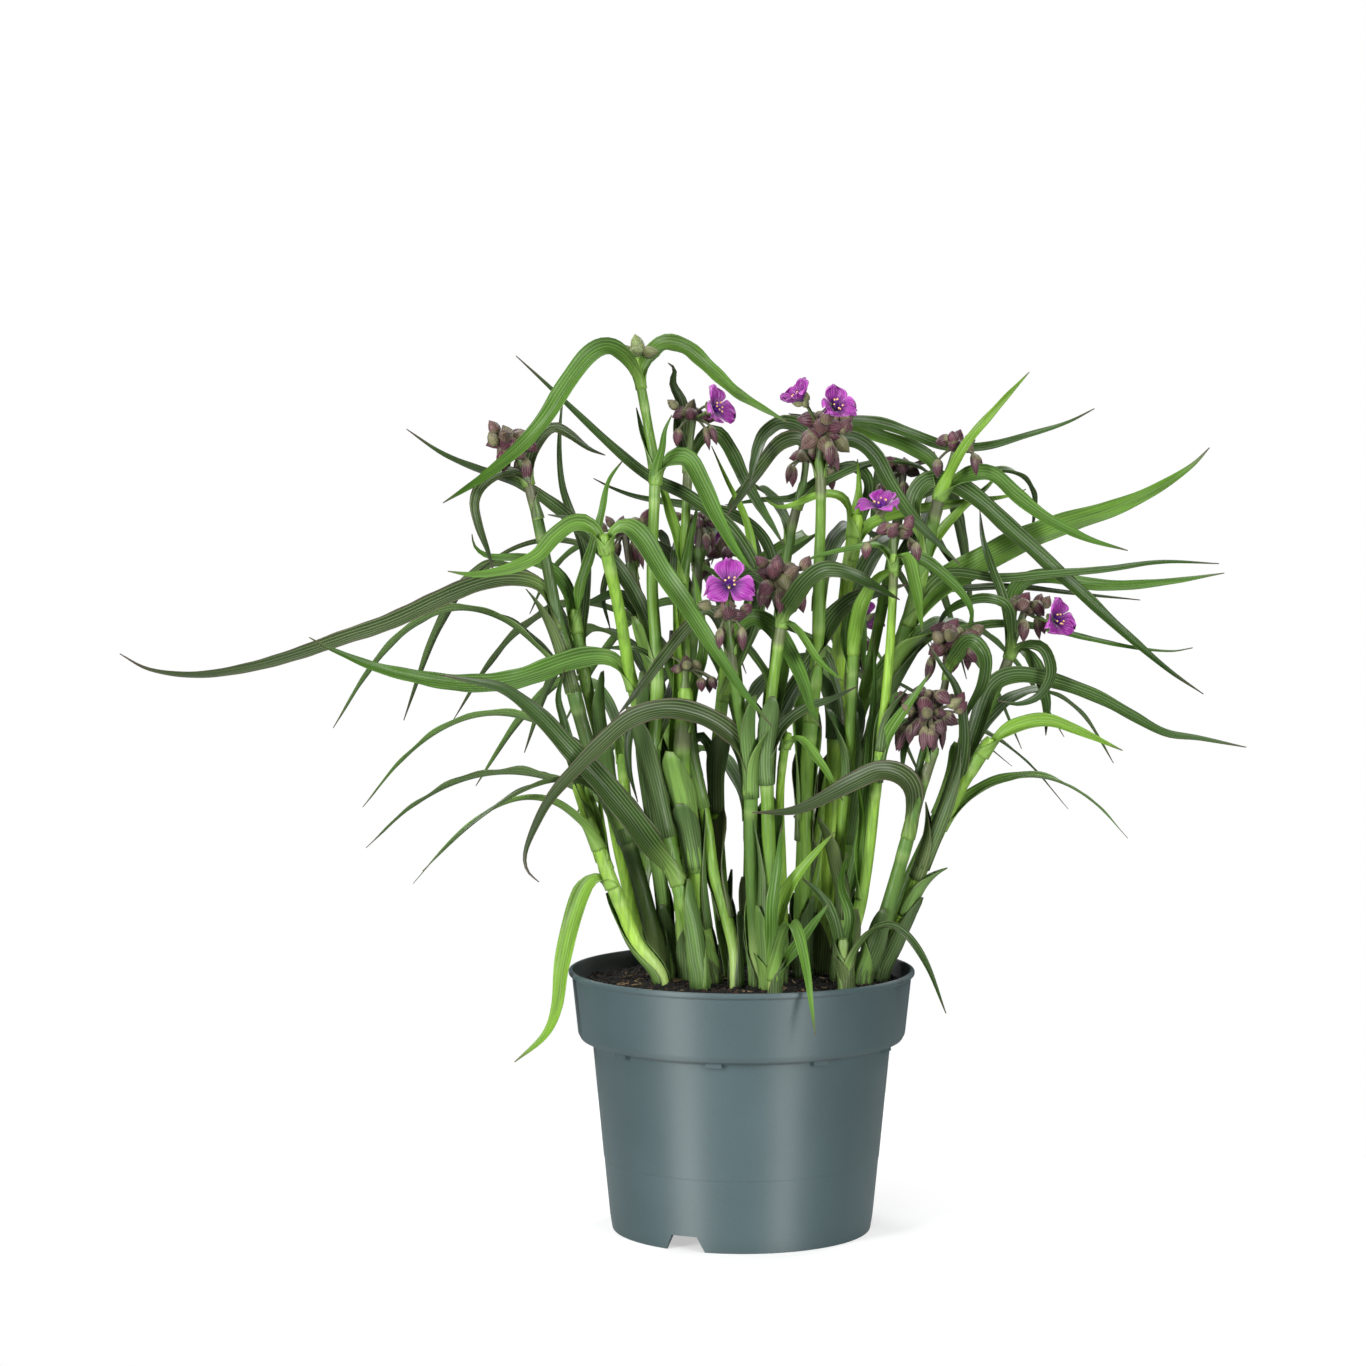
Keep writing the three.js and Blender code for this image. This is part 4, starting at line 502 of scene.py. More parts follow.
def occupy(points, reaches, owner):
    """Marks the cells whose middles lie within reach of one owner's points."""
    found = []
    for point, reach in zip(points, reaches):
        span = math.ceil(reach / CELL)
        steps = np.arange(-span, span + 1)
        near = np.stack(np.meshgrid(steps, steps, steps, indexing="ij"), -1).reshape(-1, 3)
        cells = near + np.floor((point - ROOM_CORNER) / CELL).astype(int)
        cells = cells[inside_room(cells)]
        middles = ROOM_CORNER + (cells + 0.5) * CELL
        found.append(cells[np.linalg.norm(middles - point, axis=1) <= reach])
    i, j, k = np.unique(np.vstack(found), axis=0).T
    held = room[i, j, k]
    room[i, j, k] = np.where((held == 0) | (held == owner), owner, SHARED)


def ring_of_room(radius, z):
    """Points about RING_STEP apart round the pot's axis."""
    return circle(radius, z, max(1, math.ceil(math.tau * radius / RING_STEP)))


def taken(points, own):
    """How many points stand in room that something else has grown into."""
    cells = np.floor((points - ROOM_CORNER) / CELL).astype(int)
    cells = cells[inside_room(cells)]
    held = room[tuple(cells.T)]
    return int(((held != 0) & (held != own)).sum())


# Stems

class Axis:
    """A stem's or twig's line, with its radius from foot to tip."""

    def __init__(self, points, radii, twig):
        self.line = Line(points)
        self.radii = radii
        self.twig = twig

    def radius(self, distance):
        return self.radii[0] + (self.radii[1] - self.radii[0]) * distance / self.line.total


class Root:
    """The place on an axis that a leaf grows from."""

    def __init__(self, axis, distance):
        self.axis = axis
        self.distance = distance
        self.at = axis.line.at(distance)


def stem_axis(route, depths, radii):
    """A stem's axis: upright in the soil, then along its route."""
    low = route[0][1]
    rise = route[-1][1] - low
    points = [seen(x, z, depths[0] + (depths[1] - depths[0]) * (z - low) / rise) for x, z in route]
    foot = [points[0][0], points[0][1], STEM_FOOT]
    return Axis([foot, [foot[0], foot[1], STEM_STRAIGHT], *points[1:]], radii, False)


def twig_axis(parent, radius, reach, route):
    """A side twig's axis, which leaves the stem and reaches back or forward from it."""
    root = nearest_root([parent], route[0])
    last = len(route) - 1
    points = [seen(x, z, root.at[1] + reach * i / last) for i, (x, z) in enumerate(route)]
    points[0] = root.at
    return Axis(points, (radius, radius * 0.85), True)


def nearest_root(axes, spot):
    """The place on a shoot's axes that looks nearest to a route's point from the front."""
    best = None
    for axis in axes:
        distances = np.arange(LOWEST_ROOT, axis.line.total + 1e-9)
        places = axis.line.at(distances)
        aims = np.array([seen(*spot, y) for y in places[:, 1]])
        gaps = np.linalg.norm(aims - places, axis=1)
        near = int(gaps.argmin())
        if best is None or gaps[near] < best[0]:
            best = (gaps[near], axis, distances[near])
    return Root(best[1], best[2])


def root_at_height(axis, z):
    """The place on a stem that is as high as z."""
    distance = 0
    while distance < axis.line.total and axis.line.at(distance)[2] < z:
        distance += 1
    return Root(axis, distance)


# Leaves

CLASP_SHARE = 0.16
TAPER_FROM = 0.3
TIP_HALF_WIDTH = 0.25


class Leaf:
    """A strap leaf: its root, widest width, roll about its line, tone, and the path it may take."""

    def __init__(self, root, wide, roll, tone, path, home, across, side):
        self.root = root
        self.wide = wide
        self.roll = roll
        self.tone = tone
        self.path = path
        self.home = home
        self.across = across
        self.side = side
        self.line = None

    def half_width(self, share):
        """Half the blade's width: clasping the stem, widest near a quarter, then a long taper."""
        full = self.wide / 2
        root = min(full * 0.75, self.root.axis.radius(self.root.distance) * 0.65)
        fall = np.clip((share - TAPER_FROM) / (1 - TAPER_FROM), 0, None)
        taper = full * (1 - fall**1.5) + TIP_HALF_WIDTH * fall
        return np.where(share < CLASP_SHARE, root + (full - root) * share / CLASP_SHARE, taper)


def stray(share, near, far):
    """How far a leaf strays sideways at a share of its length: near at 0.4 of it, far at its tip."""
    return near * share * (1 - share) / 0.24 + far * share * (share - 0.4) / 0.6


def traced_leaf(root, wide, roll, reach, tone, route):
    """A leaf along a route, whose tip reaches back or forward."""
    steps = np.hypot(*np.diff(np.array(route, float), axis=0).T)
    shares = np.concatenate([[0], np.cumsum(steps)]) / steps.sum()

    def path(near, far):
        depths = root.at[1] + stray(shares, near, far)
        places = [seen(x, z, depth) for (x, z), depth in zip(route, depths)]
        places[0] = root.at
        return places

    side = 1 if route[-1][0] >= route[0][0] else -1
    return Leaf(root, wide, math.radians(roll), tone, path, (reach * 0.35, reach), BACK, side)


ARCH_SHARES = np.array([0, 0.12, 0.28, 0.46, 0.64, 0.82, 1])
ARCH_ROLL = math.radians(14)
ARCH_CLIMB = 4.2
ARCH_DROP = 4.9
ARCH_REACH = 0.85


def arched_leaf(root, azimuth, long, rise, wide, tone):
    """A leaf that rises away from its stem, arches over and hangs."""
    out = level_way(math.radians(azimuth))
    aside = np.cross(UP, out)

    def path(near, far):
        lift = rise * (ARCH_CLIMB * ARCH_SHARES - ARCH_DROP * ARCH_SHARES**2)
        forward = np.outer(long * ARCH_REACH * ARCH_SHARES, out)
        sideways = np.outer(stray(ARCH_SHARES, near, far), aside)
        return root.at + forward + sideways + np.outer(lift, UP)

    return Leaf(root, wide, ARCH_ROLL, tone, path, (0, 0), aside, 1)


STEM_SKIP = 9
CHECK_ALONG = 2.5
CHECK_ACROSS = 1.25
# A leaf tries these strays, the smallest first, until it is clear of its neighbours.
NEAR_SWINGS = (0, 5, -5, 10, -10, 16, -16, 23, -23, 31, -31)
FAR_SWINGS = (0, 9, -9, 18, -18, 28, -28, 40, -40, 54, -54)
PAIRS = [(i, j) for i in range(len(NEAR_SWINGS)) for j in range(len(FAR_SWINGS))]
SWINGS = [(NEAR_SWINGS[i], FAR_SWINGS[j]) for i, j in sorted(PAIRS, key=lambda pair: (sum(pair), pair[0]))]


def blade_points(leaf, line):
    """Points spread over a blade, from clear of the stem to its tip."""
    steps = math.ceil(line.total / CHECK_ALONG)
    first = math.ceil(steps * min(0.5, STEM_SKIP / line.total))
    shares = np.arange(first, steps + 1) / steps
    halves = leaf.half_width(shares)
    counts = np.ceil(halves / CHECK_ACROSS).astype(int)
    station = np.repeat(np.arange(len(shares)), counts + 1)
    offset = np.concatenate([h * np.arange(-n, n + 1, 2) / n for h, n in zip(halves, counts)])
    distance = line.total * shares
    wide = frames(line.along(distance), leaf.across, leaf.roll, leaf.side)[0]
    return line.at(distance)[station] + wide[station] * offset[:, None]


def settle(leaf, stem_owner, owner):
    """Bends a leaf clear of what has grown before it."""
    fewest = None
    for near, far in SWINGS:
        line = Line(leaf.path(leaf.home[0] + near, leaf.home[1] + far))
        points = blade_points(leaf, line)
        hits = taken(points, stem_owner)
        if fewest is None or hits < fewest:
            fewest = hits
            leaf.line = line
            kept = points
        if hits == 0:
            break
    occupy(kept, [LEAF_REACH] * len(kept), owner)


# Growing: stems first, then the pot's own room, heads and flowers, and then every leaf in turn

class Shoot:
    """A shoot: its stem's and twigs' axes, what its leaves follow, and its leaves once they have grown."""

    def __init__(self, index, name, depths, radii, route, traced, arcs=(), twigs=()):
        self.name = name
        self.owner = index + 1
        main = stem_axis(route, depths, radii)
        self.axes = [main] + [twig_axis(main, *twig) for twig in twigs]
        self.traced = traced
        self.arcs = arcs
        self.leaves = []


class Head:
    """A bud head on an axis's tip, with the flowers that open from it."""

    def __init__(self, owner, name, shoot, axis, spot, back, core, full, long, fat, tone):
        self.owner = owner
        self.name = name
        self.axis = next(s for s in shoots if s.name == shoot).axes[axis]
        self.tip = self.axis.line.at(self.axis.line.total)
        self.centre = seen(*spot, self.tip[1] + back)
        self.core = core
        self.full = full
        self.long = long
        self.fat = fat
        self.tone = tone
        self.flowers = []


class Flower:
    """An open flower: its place, the way it faces and how far it is open."""

    def __init__(self, name, head, spot, back, azimuth, height, petal, opening):
        self.name = name
        self.head = next(h for h in heads if h.name == head)
        self.centre = seen(*spot, self.head.centre[1] + back)
        a, h = math.radians(azimuth), math.radians(height)
        self.facing = np.array([math.cos(a) * math.cos(h), math.sin(a) * math.cos(h), math.sin(h)])
        self.petal = petal
        self.opening = math.radians(opening)
        self.head.flowers.append(self)


shoots = [Shoot(i, *row) for i, row in enumerate(SHOOTS)]
for shoot in shoots:
    for axis in shoot.axes:
        marks = np.arange(0, axis.line.total + 1e-9, 2)
        occupy(axis.line.at(marks), axis.radius(marks) * SHEATH_SWELL + STEM_MARGIN, shoot.owner)

rings = [ring_of_room(r, SOIL_TOP) for r in np.arange(0, RIM_RADIUS, RING_STEP)]
rings += [ring_of_room(NECK_RADIUS - 1, z) for z in np.arange(STEP_Z, POT_HEIGHT + 1, RING_STEP)]
rings += [ring_of_room(BODY_RADIUS - 1, z) for z in np.arange(LOWEST_TIP_Z, STEP_Z, RING_STEP)]
rings = np.vstack(rings)
occupy(rings, [RING_REACH] * len(rings), POT_OWNER)

owners = itertools.count(FIRST_HEAD_OWNER)
heads = [Head(next(owners), *row) for row in HEADS]
for head in heads:
    occupy([head.centre], [head.core + head.long * 0.55 + HEAD_MARGIN], head.owner)

flowers = [Flower(*row) for row in FLOWERS]
for flower in flowers:
    occupy([flower.centre + flower.facing * 2], [flower.petal + HEAD_MARGIN], next(owners))

for shoot in shoots:
    for row in shoot.traced:
        shoot.leaves.append(traced_leaf(nearest_root(shoot.axes, row[4][0]), *row))
    for z, *row in shoot.arcs:
        shoot.leaves.append(arched_leaf(root_at_height(shoot.axes[0], z), *row))
for shoot in shoots:
    for leaf in shoot.leaves:
        settle(leaf, shoot.owner, next(owners))


# Helpers for colours, node trees and meshes

def sheet_colour(code):
    """Turns an sRGB hex colour into the linear one that shaders take."""
    parts = [int(code[i:i + 2], 16) / 255 for i in (1, 3, 5)]
    return (*[c / 12.92 if c <= 0.04045 else ((c + 0.055) / 1.055) ** 2.4 for c in parts], 1)


def between(colours, tone):
    """The colour at a tone along a row of hex colours, the first at 0."""
    row = np.array([sheet_colour(code)[:3] for code in colours])
    tone = min(max(tone, 0), len(colours) - 1)
    return [np.interp(tone, range(len(colours)), row[:, k]) for k in range(3)]


def add(tree, kind, inputs=None, **settings):
    """Adds a node with its settings. An input is a value, a socket, or a node to take the first output of."""
    node = tree.nodes.new(kind)
    for key, value in settings.items():
        setattr(node, key, value)
    for key, value in (inputs or {}).items():
        if isinstance(value, bpy.types.Node):
            value = next(socket for socket in value.outputs if socket.enabled)
        if isinstance(value, bpy.types.NodeSocket):
            tree.links.new(value, node.inputs[key])
        else:
            node.inputs[key].default_value = value
    return node


def new_material(name):
    """A material with its node tree and its skin, the shader that the looks are set on."""
    material = bpy.data.materials.new(name)
    material.use_nodes = True
    tree = material.node_tree
    return material, tree, tree.nodes["Principled BSDF"]


def marks_of(tree, name):
    """The three numbers that a piece's points carry under a name."""
    marks = add(tree, "ShaderNodeAttribute", attribute_name=name)
    return add(tree, "ShaderNodeSeparateXYZ", {0: marks}).outputs


def ripples(tree, across, often):
    """Even waves: so many to each unit across."""
    turns = add(tree, "ShaderNodeMath", {0: across, 1: math.tau * often}, operation="MULTIPLY")
    return add(tree, "ShaderNodeMath", {0: turns}, operation="SINE")


def lay_over(tree, base, source, low, high, most, code):
    """Lays a colour over a base: none of it where the source is low, the most of it where it's high."""
    if isinstance(base, str):
        base = sheet_colour(base)
    share = add(tree, "ShaderNodeMapRange", {0: source, 1: low, 2: high, 3: 0.0, 4: most})
    return add(tree, "ShaderNodeMix", {0: share, 6: base, 7: sheet_colour(code)}, data_type="RGBA")


def finish_skin(tree, skin, base, relief, depth, **values):
    """Gives a skin its colour, its relief in metres and its plain values."""
    bump = add(tree, "ShaderNodeBump", {"Height": relief, "Distance": depth, "Strength": 1.0})
    tree.links.new(base.outputs[2], skin.inputs["Base Color"])
    tree.links.new(bump.outputs[0], skin.inputs["Normal"])
    for label, value in values.items():
        skin.inputs[label.replace("_", " ")].default_value = value


def new_tree(name, sizes):
    """A geometry tree with named inputs, and its input sockets."""
    tree = bpy.data.node_groups.new(name, "GeometryNodeTree")
    tree.interface.new_socket("Geometry", in_out="INPUT", socket_type="NodeSocketGeometry")
    for label, kind, value in sizes:
        socket = tree.interface.new_socket(label, in_out="INPUT", socket_type="NodeSocket" + kind)
        if value is not None:
            socket.default_value = value
    tree.interface.new_socket("Geometry", in_out="OUTPUT", socket_type="NodeSocketGeometry")
    return tree, add(tree, "NodeGroupInput").outputs


def end_tree(tree, geometry, material):
    """Ends a tree in Realize Instances and Set Material."""
    real = add(tree, "GeometryNodeRealizeInstances", {"Geometry": geometry})
    smooth = add(tree, "GeometryNodeSetShadeSmooth", {"Geometry": real})
    dressed = add(tree, "GeometryNodeSetMaterial", {"Geometry": smooth, "Material": material})
    add(tree, "NodeGroupOutput", {"Geometry": dressed})
    return tree


def bake(piece, modifier):
    """Keeps what a modifier makes of a piece as its plain mesh."""
    depsgraph = bpy.context.evaluated_depsgraph_get()
    made = piece.evaluated_get(depsgraph)
    mesh = bpy.data.meshes.new_from_object(made, preserve_all_data_layers=True, depsgraph=depsgraph)
    piece.modifiers.remove(modifier)
    piece.data = mesh


def grow(piece, tree, **values):
    """Runs a geometry tree on a piece and keeps the result."""
    modifier = piece.modifiers.new(tree.name, "NODES")
    modifier.node_group = tree
    names = {s.name: s.identifier for s in tree.interface.items_tree if s.in_out == "INPUT"}
    for label, value in values.items():
        modifier[names[label.replace("_", " ")]] = value
    bake(piece, modifier)
    return piece


def in_scene(name, data):
    """An object in the scene that holds some data."""
    piece = bpy.data.objects.new(name, data)
    bpy.context.scene.collection.objects.link(piece)
    return piece


def new_piece(name, vertices, edges=(), faces=(), material=None, **attributes):
    """A piece from points in millimetres; an attribute is a number or a vector for each point."""
    mesh = bpy.data.meshes.new(name)
    mesh.from_pydata(np.asarray(vertices, float) * MM, edges, faces)
    for label, values in attributes.items():
        values = np.asarray(values, np.float32)
        kind = "FLOAT" if values.ndim == 1 else "FLOAT_VECTOR"
        layer = mesh.attributes.new(label, kind, "POINT")
        layer.data.foreach_set("value" if values.ndim == 1 else "vector", values.ravel())
    if material:
        mesh.materials.append(material)
    mesh.shade_smooth()
    return in_scene(name, mesh)


def join(name, parts):
    """Makes several pieces one, under a new name."""
    with bpy.context.temp_override(active_object=parts[0], selected_editable_objects=parts):
        bpy.ops.object.join()
    parts[0].name = name
    parts[0].data.name = name
    return parts[0]


def hand_over(name, parts, node):
    """Joins a piece's parts and lets it stand for its solid."""
    piece = join(name, parts)
    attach(piece, "root")
    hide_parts(node)


def face_outward(piece):
    """Turns a closed mesh's faces outward."""
    work = bmesh.new()
    work.from_mesh(piece.data)
    bmesh.ops.recalc_face_normals(work, faces=work.faces)
    work.to_mesh(piece.data)
    work.free()


def loft_faces(rings, sides, first=0, capped=True):
    """Faces of a closed skin over rings of points."""
    around = np.arange(sides)
    onward = (around + 1) % sides
    faces = []
    for i in range(rings - 1):
        a = first + i * sides
        faces += np.stack([a + around, a + onward, a + sides + onward, a + sides + around], 1).tolist()
    if capped:
        faces.append((first + around[::-1]).tolist())
        faces.append((first + (rings - 1) * sides + around).tolist())
    return faces


# Materials

VEIN_GAP = 1.5
PETAL_VEINS = 10
BUD_STREAKS = 15


def fresh_strap_leaf():
    """Fresh spiderwort leaf, a waxy cuticle over parallel veins: satin, finely ribbed, greyer below."""
    material, tree, skin = new_material("fresh_strap_leaf_waxy")
    tint = add(tree, "ShaderNodeAttribute", attribute_name="blade_tint")
    across, along, under = marks_of(tree, "blade_place")
    edge, share, age = marks_of(tree, "blade_kind")
    base = lay_over(tree, tint, under, 0.0, 1.0, 0.25, "#84a062")

    # Clouds of darker green are drawn out along the blade: about 4 mm across and 45 mm long.
    thin = add(tree, "ShaderNodeMath", {0: across, 1: 4.0}, operation="DIVIDE")
    long = add(tree, "ShaderNodeMath", {0: along, 1: 45.0}, operation="DIVIDE")
    drawn = add(tree, "ShaderNodeCombineXYZ", {0: thin, 1: long, 2: age})
    cloud = add(tree, "ShaderNodeTexNoise", {"Vector": drawn, "Scale": 1.0, "Detail": 3.0})
    base = lay_over(tree, base, cloud, 0.4, 0.7, 0.6, "#22341a")

    # Veins are 0.7 mm apart on the plant, drawn twice as coarse so that they show. They fade at the tip.
    ripple = ripples(tree, across, 1 / VEIN_GAP)
    depth = add(tree, "ShaderNodeMapRange", {0: share, 1: 0.5, 2: 0.9, 3: 1.0, 4: 0.1})
    wave = add(tree, "ShaderNodeMath", {0: ripple, 1: depth}, operation="MULTIPLY")
    base = lay_over(tree, base, wave, 0.2, 1.0, 0.22, "#a2c07a")

    # The blade is yellower where it clasps the stem.
    base = lay_over(tree, base, share, 0.14, 0.0, 0.45, "#8fb552")

    # Age browns the edges and the last of the tip.
    side = add(tree, "ShaderNodeMath", {0: edge}, operation="ABSOLUTE")
    rim = add(tree, "ShaderNodeMapRange", {0: side, 1: 0.8, 2: 1.0, 3: 0.0, 4: 0.5})
    worn = add(tree, "ShaderNodeMath", {0: rim, 1: age}, operation="MULTIPLY")
    base = lay_over(tree, base, worn, 0.0, 1.0, 1.0, "#5a4244")
    base = lay_over(tree, base, share, 0.9, 1.0, 0.8, "#4c3b38")
    finish_skin(tree, skin, base, wave, 0.000012, Roughness=0.42, IOR=1.4, Specular_IOR_Level=0.35)
    return material


def juicy_stem():
    """Juicy jointed stem: smooth and satin, finely streaked, paler at its joints and its foot."""
    material, tree, skin = new_material("juicy_stem_satin")
    tint = add(tree, "ShaderNodeAttribute", attribute_name="stem_tint")
    pale, sheath, dusk = marks_of(tree, "stem_place")

    # Streaks are 1.5 mm across and 50 mm long up the stem.
    place = add(tree, "ShaderNodeTexCoord").outputs["Object"]
    per_streak = (1 / (1.5 * MM), 1 / (1.5 * MM), 1 / (50 * MM))
    drawn = add(tree, "ShaderNodeMapping", {"Vector": place, "Scale": per_streak})
    streak = add(tree, "ShaderNodeTexNoise", {"Vector": drawn, "Scale": 1.0, "Detail": 2.0})
    base = lay_over(tree, tint, streak, 0.4, 0.7, 0.5, "#3d5c28")

    # Some stems are clouded with darker green over 35 mm.
    cloud = add(tree, "ShaderNodeTexNoise", {"Vector": place, "Scale": 1 / (35 * MM)})
    base = lay_over(tree, base, cloud, 0.45, 0.75, 0.55, "#46643a")

    # Sheaths are greener, joints and the foot paler, and a stem reddens below its buds.
    base = lay_over(tree, base, sheath, 0.0, 1.0, 0.4, "#5f8440")
    base = lay_over(tree, base, pale, 0.0, 1.0, 0.6, "#b4cb80")
    base = lay_over(tree, base, dusk, 0.0, 1.0, 1.0, "#5d474c")
    finish_skin(tree, skin, base, streak, 0.0004, Roughness=0.4, IOR=1.42, Specular_IOR_Level=0.4)
    return material


def downy_sepal():
    """Downy flower bud: matt and plump, flushed maroon over green, streaked from foot to tip."""
    material, tree, skin = new_material("downy_sepal_dusky")
    tint = add(tree, "ShaderNodeAttribute", attribute_name="bud_tint")
    turn, height, ridge = marks_of(tree, "bud_place")

    # The green at the foot ends in a ragged flush, in patches of about 4 mm.
    place = add(tree, "ShaderNodeTexCoord").outputs["Object"]
    patch = add(tree, "ShaderNodeTexNoise", {"Vector": place, "Scale": 1 / (4 * MM)})
    ragged = add(tree, "ShaderNodeMath", {0: patch, 1: height}, operation="ADD")
    base = lay_over(tree, tint, ragged, 0.95, 0.6, 0.6, "#8d9a62")

    # Pale streaks run up the bud, and dark lines where the sepals lap.
    stripe = ripples(tree, turn, BUD_STREAKS)
    base = lay_over(tree, base, stripe, 0.0, 1.0, 0.35, "#a8747e")
    base = lay_over(tree, base, ridge, 0.7, 1.0, 0.85, "#260d15")
    finish_skin(tree, skin, base, stripe, 0.00006, Roughness=0.5, Sheen_Weight=0.1, Sheen_Roughness=0.5)
    return material


def fine_down():
    """Fine plant hair, flushed like the buds: it shows as a soft dusky fringe. It varies over 3 mm."""
    material, tree, skin = new_material("fine_down_dusky")
    place = add(tree, "ShaderNodeTexCoord").outputs["Object"]
    grain = add(tree, "ShaderNodeTexNoise", {"Vector": place, "Scale": 1 / (3 * MM)})
    base = lay_over(tree, "#8a6a6e", grain, 0.0, 1.0, 1.0, "#523640")
    finish_skin(tree, skin, base, grain, 0.00002, Roughness=0.6)
    return material


def petal_tissue():
    """Thin petal tissue: magenta-purple, lighter at its ruffled rim, finely veined, with a violet throat."""
    material, tree, skin = new_material("petal_tissue_purple")
    across, share, rim = marks_of(tree, "petal_place")
    base = lay_over(tree, "#90248f", share, 0.55, 0.12, 1.0, "#380a5a")
    wave = ripples(tree, across, PETAL_VEINS / 2)
    base = lay_over(tree, base, wave, 0.2, 1.0, 0.5, "#641470")
    base = lay_over(tree, base, rim, 0.72, 1.0, 0.55, "#c468c4")
    finish_skin(tree, skin, base, wave, 0.00012, Roughness=0.45, Sheen_Weight=0.15, Sheen_Roughness=0.4)
    return material


def pollen_sac():
    """Ripe pollen sac: mealy and golden yellow, in grains drawn 0.6 mm coarse so that they show."""
    material, tree, skin = new_material("pollen_sac_yellow")
    place = add(tree, "ShaderNodeTexCoord").outputs["Object"]
    grain = add(tree, "ShaderNodeTexNoise", {"Vector": place, "Scale": 1 / (0.6 * MM)})
    base = lay_over(tree, "#f4d36a", grain, 0.0, 1.0, 1.0, "#e8a58a")
    finish_skin(tree, skin, base, grain, 0.0001, Roughness=0.8)
    return material


def stamen_thread():
    """Stamen threads and the hairs between them: violet, darker than the petals, shaded over 2 mm."""
    material, tree, skin = new_material("stamen_thread_violet")
    place = add(tree, "ShaderNodeTexCoord").outputs["Object"]
    grain = add(tree, "ShaderNodeTexNoise", {"Vector": place, "Scale": 1 / (2 * MM)})
    base = lay_over(tree, "#4a0f86", grain, 0.0, 1.0, 1.0, "#9440c4")
    finish_skin(tree, skin, base, grain, 0.00002, Roughness=0.45)
    return material


def moulded_pot_plastic():
    """Injection-moulded polypropylene, petrol grey and satin: a turned mould draws its shine out upwards."""
    material, tree, skin = new_material("moulded_polypropylene_petrol")

    # Flow clouds are 50 mm across; the mould's fine texture is drawn 0.8 mm coarse so that it shows.
    place = add(tree, "ShaderNodeTexCoord").outputs["Object"]
    cloud = add(tree, "ShaderNodeTexNoise", {"Vector": place, "Scale": 1 / (50 * MM)})
    base = lay_over(tree, "#364749", cloud, 0.2, 0.8, 1.0, "#3e5053")
    grain = add(tree, "ShaderNodeTexNoise", {"Vector": place, "Scale": 1 / (0.8 * MM)})
    base = lay_over(tree, base, grain, 0.3, 0.8, 0.05, "#8b9ba0")

    # Painted shade darkens the inside to near black: there the surface faces the pot's own axis.
    level = add(tree, "ShaderNodeVectorMath", {0: place, 1: (1, 1, 0)}, operation="MULTIPLY")
    out = add(tree, "ShaderNodeVectorMath", {0: level}, operation="NORMALIZE")
    facing = add(tree, "ShaderNodeNewGeometry").outputs["Normal"]
    outward = add(tree, "ShaderNodeVectorMath", {0: out, 1: facing}, operation="DOT_PRODUCT").outputs["Value"]
    base = lay_over(tree, base, outward, -0.3, -0.8, 0.85, "#0e1011")
    finish_skin(tree, skin, base, grain, 0.000006, Roughness=0.6, IOR=1.49,
                Specular_IOR_Level=0.8, Anisotropic=0.85, Anisotropic_Rotation=0.25)
    return material


def damp_peat():
    """Damp peat: near black and matt, in crumbs, with a few reddish and straw-coloured bits."""
    material, tree, skin = new_material("damp_peat_crumbs")
    tint = add(tree, "ShaderNodeAttribute", attribute_name="crumb_tint").outputs["Fac"]

    # Crumbs are 4 mm across. Of 100, about ten are more or less reddish and one is straw coloured.
    place = add(tree, "ShaderNodeTexCoord").outputs["Object"]
    crumb = add(tree, "ShaderNodeTexNoise", {"Vector": place, "Scale": 1 / (4 * MM), "Detail": 5.0})
    base = lay_over(tree, "#0a0807", crumb, 0.4, 0.7, 1.0, "#1a130e")
    base = lay_over(tree, base, tint, 0.9, 0.97, 0.8, "#4f2f20")
    base = lay_over(tree, base, tint, 0.99, 0.993, 0.9, "#8a6d4c")
    finish_skin(tree, skin, base, crumb, 0.0008, Roughness=0.9)
    return material


def peat_fibre():
    """Dry peat fibre: straw coloured and matt, darker and paler over 10 mm."""
    material, tree, skin = new_material("peat_fibre_straw")
    place = add(tree, "ShaderNodeTexCoord").outputs["Object"]
    grain = add(tree, "ShaderNodeTexNoise", {"Vector": place, "Scale": 1 / (10 * MM)})
    base = lay_over(tree, "#4a3222", grain, 0.0, 1.0, 1.0, "#a08a62")
    finish_skin(tree, skin, base, grain, 0.0001, Roughness=0.85)
    return material


LEAF = fresh_strap_leaf()
STEM = juicy_stem()
SEPAL = downy_sepal()
DOWN = fine_down()
PETAL = petal_tissue()
POLLEN = pollen_sac()
THREAD = stamen_thread()
POT_PLASTIC = moulded_pot_plastic()
PEAT = damp_peat()
FIBRE = peat_fibre()


# Geometry trees

def swept_tree():
    """Round tubes along lines, as thick as the lines' points say."""
    tree, given = new_tree("swept_tubes", [("Sides", "Int", 12), ("Material", "Material", None)])
    line = add(tree, "GeometryNodeMeshToCurve", {"Mesh": given["Geometry"]})
    girth = add(tree, "GeometryNodeInputNamedAttribute", {"Name": "girth"}, data_type="FLOAT")
    ring = add(tree, "GeometryNodeCurvePrimitiveCircle", {"Resolution": given["Sides"], "Radius": 1.0})
    tube = {"Curve": line, "Profile Curve": ring, "Scale": girth, "Fill Caps": True}
    swept = add(tree, "GeometryNodeCurveToMesh", tube)
    return end_tree(tree, swept, given["Material"])


